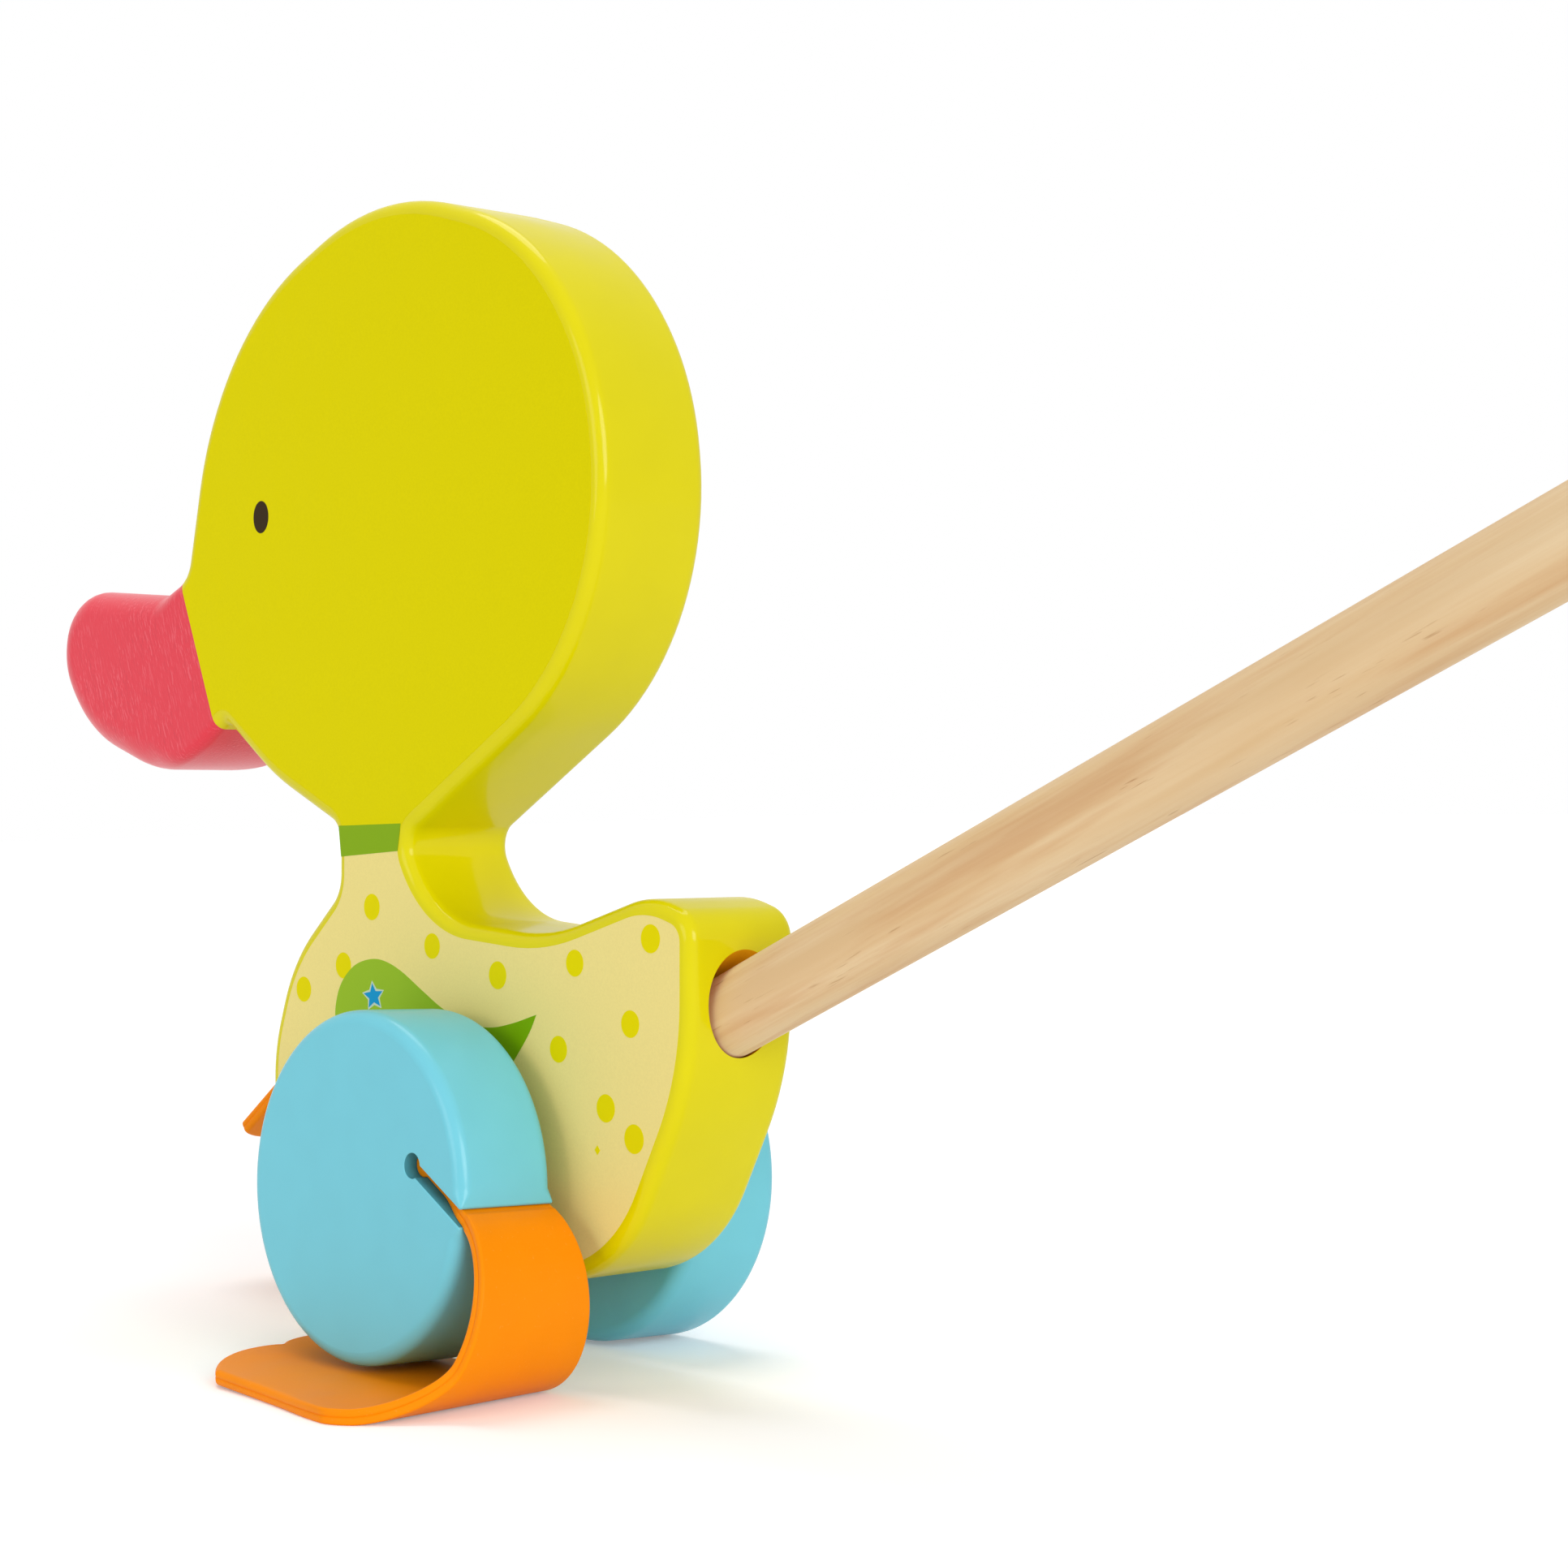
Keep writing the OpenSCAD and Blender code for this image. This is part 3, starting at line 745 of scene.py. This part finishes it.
inkDots = dotTree()
collarMiddle = (sum(z for x, z in art["collarTop"] + art["collarLow"]) / 4 + axleZ) * mm
printInk = facePrint("printInk", collarMiddle)
wingInk = leafInk("wingInk", art["wingFade"][0] * mm, art["wingFade"][1] * mm)

collarLine = [Vector(p) for p in art["collarTop"] + art["collarLow"][::-1]]
wingLine = throughPoints(art["wing"])
eyeWide, eyeTall = art["eyeSize"]
eyeTurns = [2 * math.pi * k / art["eyeSides"] for k in range(art["eyeSides"])]
eyeArms = [(math.cos(a) * eyeWide / 2, -math.sin(a) * eyeTall / 2) for a in eyeTurns]
eyeLine = [Vector(art["eye"]) + Vector(arm) for arm in eyeArms]
fleckWide, fleckTall = art["fleckSize"]
fleckArms = [(0, fleckTall), (fleckWide, 0), (0, -fleckTall), (-fleckWide, 0)]
fleckLine = [Vector(art["fleck"]) + Vector(arm) for arm in fleckArms]

for side, label in ((-1, "left"), (1, "right")):
    sunk = side * half - side * art["sunk"]
    top = side * (half + duck["film"])
    over = top + side * art["ink"]
    sheet = film(label + "Print", insetLine(duckLine, duck["filmMargin"]), sunk, top, printInk)
    sheet = carve(label + "Print", sheet, [boreCutter()])
    addPiece(label + "Print", sheet, "duck", "print", label + "_print")

    inked = [
        ("Collar", collarLine, top, over, collarInk),
        ("Wing", wingLine, top, over, wingInk),
        ("StarEdge", starLine(art["starRim"]), over, over + side * art["starInk"], starEdgeInk),
        ("Star", starLine(0), over, over + side * art["starInk"] * 2, starInk),
        ("Eye", eyeLine, top, over, eyeInk),
        ("Fleck", fleckLine, top, over, dotInk),
    ]
    for part, line, low, high, ink in inked:
        addPiece(label + part, film(label + part, line, low, high, ink), "duck", "print")

    spots = bpy.data.meshes.new(label + "Dots")
    spots.from_pydata([upright(x, z, (top + over) / 2) for x, z in art["dots"]], [], [])
    values = {
        "Radius": art["dotRadius"] * mm,
        "Ink": art["ink"] * mm * art["dotThin"],
        "Turn": (math.pi / 2 - boardLean, 0, 0),
        "Material": dotInk,
    }
    dots = useTree(label + "Dots", spots, inkDots, values)
    addPiece(label + "Dots", dots, "duck", "print")
print("printed faces made")


# wheels

wheel = {
    "radius": 31.0,
    "thick": 20.0,
    "inner": half + 4.25,
    "edge": 2.5,
    "lipEdge": 0.5,
    "mouthEdge": 0.3,
    "slotEdge": 0.15,
    "cornerRound": 0.5,
    "faceLip": 0.08,
    "stopRadius": 17.8,
    "stopAngle": 17.0,
    "slotAngle": 30.0,
    "slotWidth": 2.54,
    "wallSteps": 6,
    "wallFacing": 0.3,
    "stopHole": 4.4,
}
slotAim = math.radians(-wheel["slotAngle"])
slotDir = Vector((math.cos(slotAim), math.sin(slotAim)))
slotUp = Vector((-slotDir.y, slotDir.x))
stopSpot = Vector((math.cos(math.radians(wheel["stopAngle"])), math.sin(math.radians(wheel["stopAngle"]))))
stopSpot = stopSpot * wheel["stopRadius"]


def alongSlot(offset, radius):
    # where a line beside the slot meets a circle about the axle
    start = stopSpot + slotUp * offset
    b = start.dot(slotDir)
    return start + slotDir * (-b + math.sqrt(b * b - start.length_squared + radius * radius))


def bearing(arm):
    return math.degrees(math.atan2(arm.y, arm.x))


def wheelLine():
    # rim, slot and stop hole as one clockwise outline, with the edge rounding at each point
    r, w, c = wheel["radius"], wheel["slotWidth"] / 2, wheel["cornerRound"]
    stop, aim = wheel["stopHole"] / 2, bearing(slotDir)
    opening = math.degrees(math.asin(w / stop))
    upper, lower = alongSlot(w + c, r - c), alongSlot(-w - c, r - c)
    line = arcLine((0, 0), r, bearing(lower), bearing(upper) - 360, 2)
    upperCorner = arcLine(upper, c, bearing(upper), bearing(-slotUp), 12)
    hole = arcLine(stopSpot, stop, aim + opening, aim + 360 - opening, 8, -1)
    lowerCorner = arcLine(lower, c, bearing(slotUp), bearing(lower), 12)
    shares = [k / wheel["wallSteps"] for k in range(1, wheel["wallSteps"])]
    upperWall = [(upperCorner[-1][0].lerp(hole[0][0], t), -slotUp) for t in shares]
    lowerWall = [(hole[-1][0].lerp(lowerCorner[0][0], t), slotUp) for t in shares]

    lip, mouth, deep = wheel["lipEdge"], wheel["mouthEdge"], wheel["slotEdge"]
    fromEnds = [min(k, len(line) - 1 - k) for k in range(len(line))]
    edges = [lip + (wheel["edge"] - lip) * smooth(k / 2) for k in fromEnds]
    runs = [
        (upperCorner, lip, mouth),
        (upperWall, mouth, deep),
        (hole, deep, deep),
        (lowerWall, deep, mouth),
        (lowerCorner, mouth, lip),
    ]
    for run, first, last in runs:
        for k, spot in enumerate(run):
            line.append(spot)
            edges.append(first + (last - first) * k / (len(run) - 1))
    return line, edges


def onWheel(side):
    # the right wheel is set half a turn from the left one
    def place(x, z, y):
        return rolled(x, z, y) if side < 0 else rolled(-x, -z, y)
    return place


def paintSlotShade(mesh):
    # the walls of the slot and of the stop hole get the darker slot paint: painted shade of the recess
    axis = rolling @ Vector((0, 1, 0))
    for face in mesh.polygons:
        arm = face.center / mm - Vector((0, 0, axleZ))
        radius = (arm - axis * arm.dot(axis)).length
        inside = radius < wheel["radius"] - wheel["cornerRound"]
        if inside and abs(face.normal.dot(axis)) < wheel["wallFacing"]:
            face.material_index = 1


outline, outlineEdges = wheelLine()
for side, label in ((-1, "left"), (1, "right")):
    inner, outer = side * wheel["inner"], side * (wheel["inner"] + wheel["thick"])
    near, far = min(inner, outer), max(inner, outer)
    disc = slab(outline, near, far, outlineEdges, onWheel(side), lip=wheel["faceLip"])
    mesh = meshFrom(label + "Wheel", disc, bluePaint, slotShadePaint)
    paintSlotShade(mesh)
    addPiece(label + "Wheel", mesh, "wheelset", "blue_paint", label + "_wheel")
print("wheels made")


# rubber feet: cut flat, then bent along their length

foot = {
    "thick": 2.8,
    "length": 97.0,
    "strip": wheel["thick"] - 0.8,
    "stripFlare": 15.0,
    "flareStart": 26.0,
    "flareEnd": 46.0,
    "paddle": 42.0,
    "taper": 5.5,
    "innerToe": 16.0,
    "outerTip": 20.5,
    "outerShort": 2.0,
    "toeDepth": 3.2,
    "cornerDepth": 26.0,
    "toeRound": 0.98,
    "curlStart": 60.0,
    "toeLift": 1.2,
    "tongue": 2.4,
    "tongueStep": 1.8,
    "shoulder": 9.0,
    "bead": 4.2,
    "soleWear": 0.05,
    "edge": 0.5,
    "tongueEdge": 0.25,
    "edgeGrow": 6.0,
    "toeEdge": 0.9,
    "edgeSteps": 5,
    "faceLip": 0.2,
    "inside": 0.15,
    "mouthGap": 0.1,
    "beadEnd": 0.4,
    "toeSteps": 80,
    "backSteps": 12,
    "bendStep": 1.1,
    "fineTo": 3.0,
    "standLead": 2.0,
    "freeBend": (32.0, 30.0, 67.0),
    "seamGroove": {"depth": 0.22, "profile": [(-0.4, 0), (-0.18, 0.25), (0.0, 1), (0.18, 0.25), (0.4, 0)]},
}
rimSpot = alongSlot(0, wheel["radius"])
tongueLength = (rimSpot - stopSpot).length
mouthSlant = wheel["slotWidth"] / 2 * math.tan(slotDir.angle(rimSpot))
standSpot = rimSpot + slotDir * foot["standLead"]
standRadius = (standSpot.y + axleZ - foot["thick"] / 2 + foot["soleWear"]) / (1 + slotDir.x)

# straight lead, bend radius and bend angle: the left foot stands and the right one hangs free
bends = {-1: (foot["standLead"], standRadius, wheel["slotAngle"] - 180), 1: foot["freeBend"]}


def footWidth(s):
    # the tongue is set back in the slot, the strip flares, and the paddle tapers to the toes
    step = foot["tongueStep"] * (1 - smooth(s / foot["shoulder"] + 1))
    strip = foot["strip"] - step + max(0, s) * math.tan(math.radians(foot["stripFlare"]))
    paddle = foot["paddle"] - (s - foot["flareEnd"]) * math.tan(math.radians(foot["taper"]))
    share = smooth((s - foot["flareStart"]) / (foot["flareEnd"] - foot["flareStart"]))
    return strip + (paddle - strip) * share


def toeCut(w):
    # how far the front is cut back there: a round inner toe, a notch, and a wide outer toe
    def rounding(x):
        return 1 - math.sqrt(1 - min(1, foot["toeRound"] * abs(x)) ** 2)
    tip, edge, depth, short = foot["outerTip"], foot["paddle"], foot["cornerDepth"], foot["outerShort"]
    if w < foot["outerTip"]:
        edge, depth = foot["innerToe"], foot["toeDepth"] - short
    if w < foot["innerToe"]:
        tip, depth, short = foot["innerToe"] / 2, foot["toeDepth"], 0
    return short + depth * rounding((w - tip) / (edge - tip)) / rounding(1)


def cutBack(s, w):
    # the toes' rounding fades out towards the heel
    return s - toeCut(w) * smooth((s - foot["flareEnd"]) / (foot["length"] - foot["flareEnd"]))


def footLine():
    # the flat cut: tongue, strip and two toes, as (distance from the rim, distance from the inner edge)
    back = -tongueLength - foot["bead"] / 2
    low, wide = foot["inside"], footWidth(foot["length"])
    front = cutBack(foot["length"], low)
    count = int(front - back)
    spots = [Vector((back + (front - back) * k / count, low)) for k in range(count)]
    steps = foot["toeSteps"]
    across = [low + (wide - low) * k / steps for k in range(steps + 1)]
    spots += [Vector((cutBack(foot["length"], w), w)) for w in across]
    outer = [foot["length"] + (back - foot["length"]) * k / (2 * count) for k in range(1, 2 * count + 1)]
    spots += [Vector((cutBack(s, footWidth(s)), footWidth(s))) for s in outer]
    wide, steps = footWidth(back), foot["backSteps"]
    spots += [Vector((back, wide + (low - wide) * k / steps)) for k in range(1, steps)]
    spots.reverse()
    return withNormals(spots)


def footHalf(s, face):
    # bead, tongue, then the full sheet, which starts where the slanted mouth of the slot ends
    share = smooth(s + face * mouthSlant - foot["mouthGap"])
    sheet = (foot["tongue"] + (foot["thick"] - foot["tongue"]) * share) / 2
    if s > 0:
        return sheet
    ball = foot["bead"] ** 2 / 4 - (s + tongueLength) ** 2
    return max(sheet if s > -tongueLength else foot["beadEnd"], math.sqrt(max(0, ball)))


def bentFoot(side, lead, radius, bend):
    # places a point of the flat cut on the bent foot; the standing foot levels out and its toes curl up
    arc = radius * math.radians(abs(bend))
    curve = math.copysign(radius, bend)
    start = -math.radians(wheel["slotAngle"])
    leadSpot = rimSpot + slotDir * lead
    def onFoot(s, w, t):
        share = max(0, min(1, (s - lead) / arc))
        aim = start + math.radians(bend) * share
        along = s - lead if s <= lead else max(0, s - lead - arc)
        spot = leadSpot + Vector((math.sin(aim) - math.sin(start), math.cos(start) - math.cos(aim))) * curve
        spot = spot + Vector((math.cos(aim), math.sin(aim))) * along
        lift = footHalf(s, 1 if t > 0 else -1) * t / (foot["thick"] / 2)
        spot = spot + Vector((-math.sin(aim), math.cos(aim))) * lift
        flat = Vector((spot.x, side * (wheel["inner"] + w), spot.y))
        if side > 0:
            return rolled(-flat.x, -flat.z, flat.y)
        curl = max(0, (s - foot["curlStart"]) / (foot["length"] - foot["curlStart"]))
        flat.z += foot["toeLift"] * curl ** 2
        levelled = Matrix.Rotation(wheelLean * smooth(share), 3, "X") @ rolling @ flat
        return Vector((levelled.x, levelled.y, max(0, levelled.z + axleZ))) * mm
    return onFoot


def makeFoot(side):
    # the flat cut is sliced across, finely at the slot's mouth, so that it can bend
    line = footLine()
    edges = []
    for spot, normal in line:
        edge = foot["tongueEdge"] + (foot["edge"] - foot["tongueEdge"]) * smooth(spot.x / foot["edgeGrow"])
        toes = smooth((spot.x - foot["flareEnd"]) / (foot["curlStart"] - foot["flareEnd"]))
        edges.append(edge + (foot["toeEdge"] - foot["edge"]) * toes)
    top = foot["thick"] / 2
    bm = slab(line, -top, top, edges, lambda s, w, t: Vector((s, w, t)), foot["edgeSteps"],
              foot["faceLip"], foot["seamGroove"])
    s = -tongueLength
    while s < foot["length"]:
        parts = bm.verts[:] + bm.edges[:] + bm.faces[:]
        bmesh.ops.bisect_plane(bm, geom=parts, plane_co=(s, 0, 0), plane_no=(1, 0, 0))
        s += foot["bendStep"] if s > foot["fineTo"] else foot["bendStep"] / 4
    bend = bentFoot(side, *bends[side])
    for v in bm.verts:
        v.co = bend(*v.co)
    return bm


for side, label in ((-1, "left"), (1, "right")):
    mesh = meshFrom(label + "Foot", makeFoot(side), rubberOrange, sharp=50)
    addPiece(label + "Foot", mesh, "wheelset", "orange_rubber", label + "_foot")
print("feet made")


# stick, axle, spacers and grip

dowelMesh = {"rings": 160, "sides": 96}


def dowelTree():
    # a round rod between two points, with its rings closer and its edges rounded over at the ends
    tree, wires, given, out = newGroup(
        "dowel", "GeometryNodeTree",
        {"Start": "Vector", "End": "Vector", "Radius": "Float", "Round": "Float", "Material": "Material"},
        {"Geometry": "Geometry"},
    )
    start, end = given["Start"], given["End"]
    line = wires.add("GeometryNodeCurvePrimitiveLine", {"Start": start, "End": end})
    fine = wires.add("GeometryNodeResampleCurve", {"Curve": line.outputs[0], "Count": dowelMesh["rings"]})
    share = wires.add("GeometryNodeSplineParameter").outputs["Factor"]
    turn = wires.math("COSINE", wires.math("MULTIPLY", share, math.pi))
    eased = wires.math("SUBTRACT", 0.5, wires.math("MULTIPLY", turn, 0.5))
    spot = wires.add("ShaderNodeMix", {0: eased, 4: start, 5: end}, data_type="VECTOR").outputs[1]
    moved = wires.add("GeometryNodeSetPosition", {"Geometry": fine.outputs[0], "Position": spot})
    span = wires.add("ShaderNodeVectorMath", {0: start, 1: end}, operation="DISTANCE").outputs["Value"]
    nearest = wires.math("MINIMUM", eased, wires.math("SUBTRACT", 1.0, eased))
    reach = wires.math("DIVIDE", wires.math("MULTIPLY", nearest, span), given["Round"], True)
    gap = wires.math("SUBTRACT", 1.0, reach)
    arc = wires.math("SQRT", wires.math("SUBTRACT", 1.0, wires.math("MULTIPLY", gap, gap)))
    drop = wires.math("MULTIPLY", wires.math("SUBTRACT", 1.0, arc), given["Round"])
    ring = wires.add("GeometryNodeCurvePrimitiveCircle", {"Resolution": dowelMesh["sides"], "Radius": 1.0})
    rod = wires.add("GeometryNodeCurveToMesh", {
        "Curve": moved.outputs[0],
        "Profile Curve": ring.outputs[0],
        "Scale": wires.math("SUBTRACT", given["Radius"], drop),
        "Fill Caps": True,
    })
    done = wires.add("GeometryNodeSetMaterial", {"Geometry": rod.outputs[0], "Material": given["Material"]})
    wires.feed(out, {"Geometry": done.outputs[0]})
    return tree


def dowel(name, start, end, radius, ease, material):
    values = {"Start": start, "End": end, "Radius": radius * mm, "Round": ease * mm, "Material": material}
    return useTree(name, bpy.data.meshes.new(name), dowelRod, values)


dowelRod = dowelTree()
stickWood = bareWood("stickWood", stickGrain, **woodTones)
stickStart = onStick(0, 0, stick["seatGap"] - stick["seat"])
stickEnd = onStick(0, 0, stick["length"] - stick["seat"])
stickMesh = dowel("stickRod", stickStart, stickEnd, stick["radius"], stick["ends"], stickWood)
addPiece("stickRod", stickMesh, "duck", "bare_wood", "stick")

axle = {"radius": 4.0, "seat": 12.0, "ends": 0.4}
axleWood = bareWood("axleWood", (0, 0, math.radians(90)), **woodTones)
reach = wheel["inner"] + axle["seat"]
axleStart, axleEnd = rolled(0, 0, -reach), rolled(0, 0, reach)
axleMesh = dowel("axleRod", axleStart, axleEnd, axle["radius"], axle["ends"], axleWood)
addPiece("axleRod", axleMesh, "wheelset", "bare_wood", "axle")

spacer = {"radius": 8.0, "bore": 4.05, "thick": 3.49, "chamfer": 0.35, "sides": 72}
for side, label in ((-1, "left"), (1, "right")):
    r, b, c = spacer["radius"], spacer["bore"], spacer["chamfer"]
    low, high = wheel["inner"] - spacer["thick"], wheel["inner"]
    profile = [(b, low + c), (b + c, low), (r - c, low), (r, low + c)]
    profile += [(r, high - c), (r - c, high), (b + c, high), (b, high - c)]
    ring = lathe([(p, side * h) for p, h in profile], onWheel(side), spacer["sides"])
    mesh = meshFrom(label + "Spacer", ring, axleWood)
    addPiece(label + "Spacer", mesh, "wheelset", "bare_wood", label + "_spacer")

grip = {
    "radius": 17.0,
    "seat": 22.0,
    "sunk": 1.0,
    "fit": 0.05,
    "mouthRound": 1.2,
    "mouthFlat": 0.9,
    "mouthSteps": 5,
    "ballSteps": 48,
}


def gripProfile():
    # a turned ball with a bore for the stick and an eased mouth
    r, bore, m = grip["radius"], stick["radius"] + grip["fit"], grip["mouthRound"]
    end = stick["length"] - stick["seat"]
    middle = end - grip["seat"] + r - grip["sunk"]
    low = math.asin((bore + m) / r)
    mouth = middle - r * math.cos(low)
    profile = [(0, end), (bore, end), (bore, mouth + m)]
    steps = grip["mouthSteps"]
    for k in range(1, steps + 1):
        a = math.pi / 2 * k / steps
        profile.append((bore + m * (1 - math.cos(a)), mouth + m * (1 - math.sin(a)) * grip["mouthFlat"]))
    steps = grip["ballSteps"]
    for k in range(1, steps):
        a = low + (math.pi - low) * k / steps
        profile.append((r * math.sin(a), middle - r * math.cos(a)))
    profile.append((0, middle + r))
    return profile


gripMesh = meshFrom("ballGrip", lathe(gripProfile(), onStick), stickWood)
addPiece("ballGrip", gripMesh, "duck", "bare_wood", "grip")
print("stick, axle, spacers and grip made")


# stage, light and camera

stage = {"floor": 4.0, "white": 0.92, "lift": 0.22, "ambient": 0.43}
suns = {
    "keySun": {"from": (0.9, -0.3, 0.33), "strength": 1.5, "spread": 30},
    "frontSun": {"from": (-0.1, -0.95, 0.28), "strength": 0.6, "spread": 30},
    "topSun": {"from": (-0.3, 0.15, 1.0), "strength": 1.15, "spread": 35},
}
view = {"spot": (452.2, 67.0, -361.2), "azimuth": 46.53, "pitch": 90.49, "lens": 72.43, "sensor": 36}


def seenRays(wires):
    # what the camera sees, straight or in a gloss or glass, is the white background
    path = wires.add("ShaderNodeLightPath").outputs
    seen = wires.math("MAXIMUM", path["Is Camera Ray"], path["Is Glossy Ray"])
    return wires.math("MAXIMUM", seen, path["Is Transmission Ray"])


def floorMaterial():
    material = bpy.data.materials.new("whiteFloor")
    material.use_nodes = True
    material.node_tree.nodes.clear()
    wires = Wiring(material.node_tree)
    dull = wires.add("ShaderNodeBsdfDiffuse", {"Color": (stage["white"],) * 3 + (1,)})
    glow = wires.add("ShaderNodeEmission", {"Color": (1, 1, 1, 1), "Strength": stage["lift"]})
    both = wires.add("ShaderNodeAddShader", {0: dull.outputs[0], 1: glow.outputs[0]})
    mixed = wires.add("ShaderNodeMixShader", {0: seenRays(wires), 1: dull.outputs[0], 2: both.outputs[0]})
    wires.add("ShaderNodeOutputMaterial", {"Surface": mixed.outputs[0]})
    return material


def addFloor():
    bm = bmesh.new()
    reach = stage["floor"]
    corners = [(-reach, -reach), (reach, -reach), (reach, reach), (-reach, reach)]
    bm.faces.new([bm.verts.new((x, y, 0)) for x, y in corners])
    floor = bpy.data.objects.new("floor", meshFrom("floor", bm, floorMaterial()))
    scene.collection.objects.link(floor)
    floor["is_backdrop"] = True


def addWorld():
    world = bpy.data.worlds.new("studio")
    scene.world = world
    world.use_nodes = True
    world.node_tree.nodes.clear()
    wires = Wiring(world.node_tree)
    strength = wires.ramp(seenRays(wires), 0.0, 1.0, stage["ambient"], 1.0)
    sky = wires.add("ShaderNodeBackground", {"Color": (1, 1, 1, 1), "Strength": strength})
    wires.add("ShaderNodeOutputWorld", {"Surface": sky.outputs[0]})


def addSun(name, sun):
    lamp = bpy.data.lights.new(name, "SUN")
    lamp.energy = sun["strength"]
    lamp.angle = math.radians(sun["spread"])
    holder = bpy.data.objects.new(name, lamp)
    scene.collection.objects.link(holder)
    holder.rotation_euler = Vector(sun["from"]).to_track_quat("Z", "Y").to_euler()


def addCamera():
    # the camera is set in the board's own frame
    camera = bpy.data.cameras.new("camera")
    camera.lens = view["lens"]
    camera.sensor_width = view["sensor"]
    holder = bpy.data.objects.new("camera", camera)
    scene.collection.objects.link(holder)
    azimuth = Matrix.Rotation(math.radians(view["azimuth"]), 3, "Z")
    pitch = Matrix.Rotation(math.radians(view["pitch"]), 3, "X")
    holder.location = upright(*view["spot"])
    holder.rotation_euler = (standing @ (azimuth @ pitch)).to_euler()
    scene.camera = holder


addFloor()
addWorld()
for name, sun in suns.items():
    addSun(name, sun)
addCamera()
scene.view_settings.view_transform = "Standard"

low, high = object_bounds()
print("scene made")
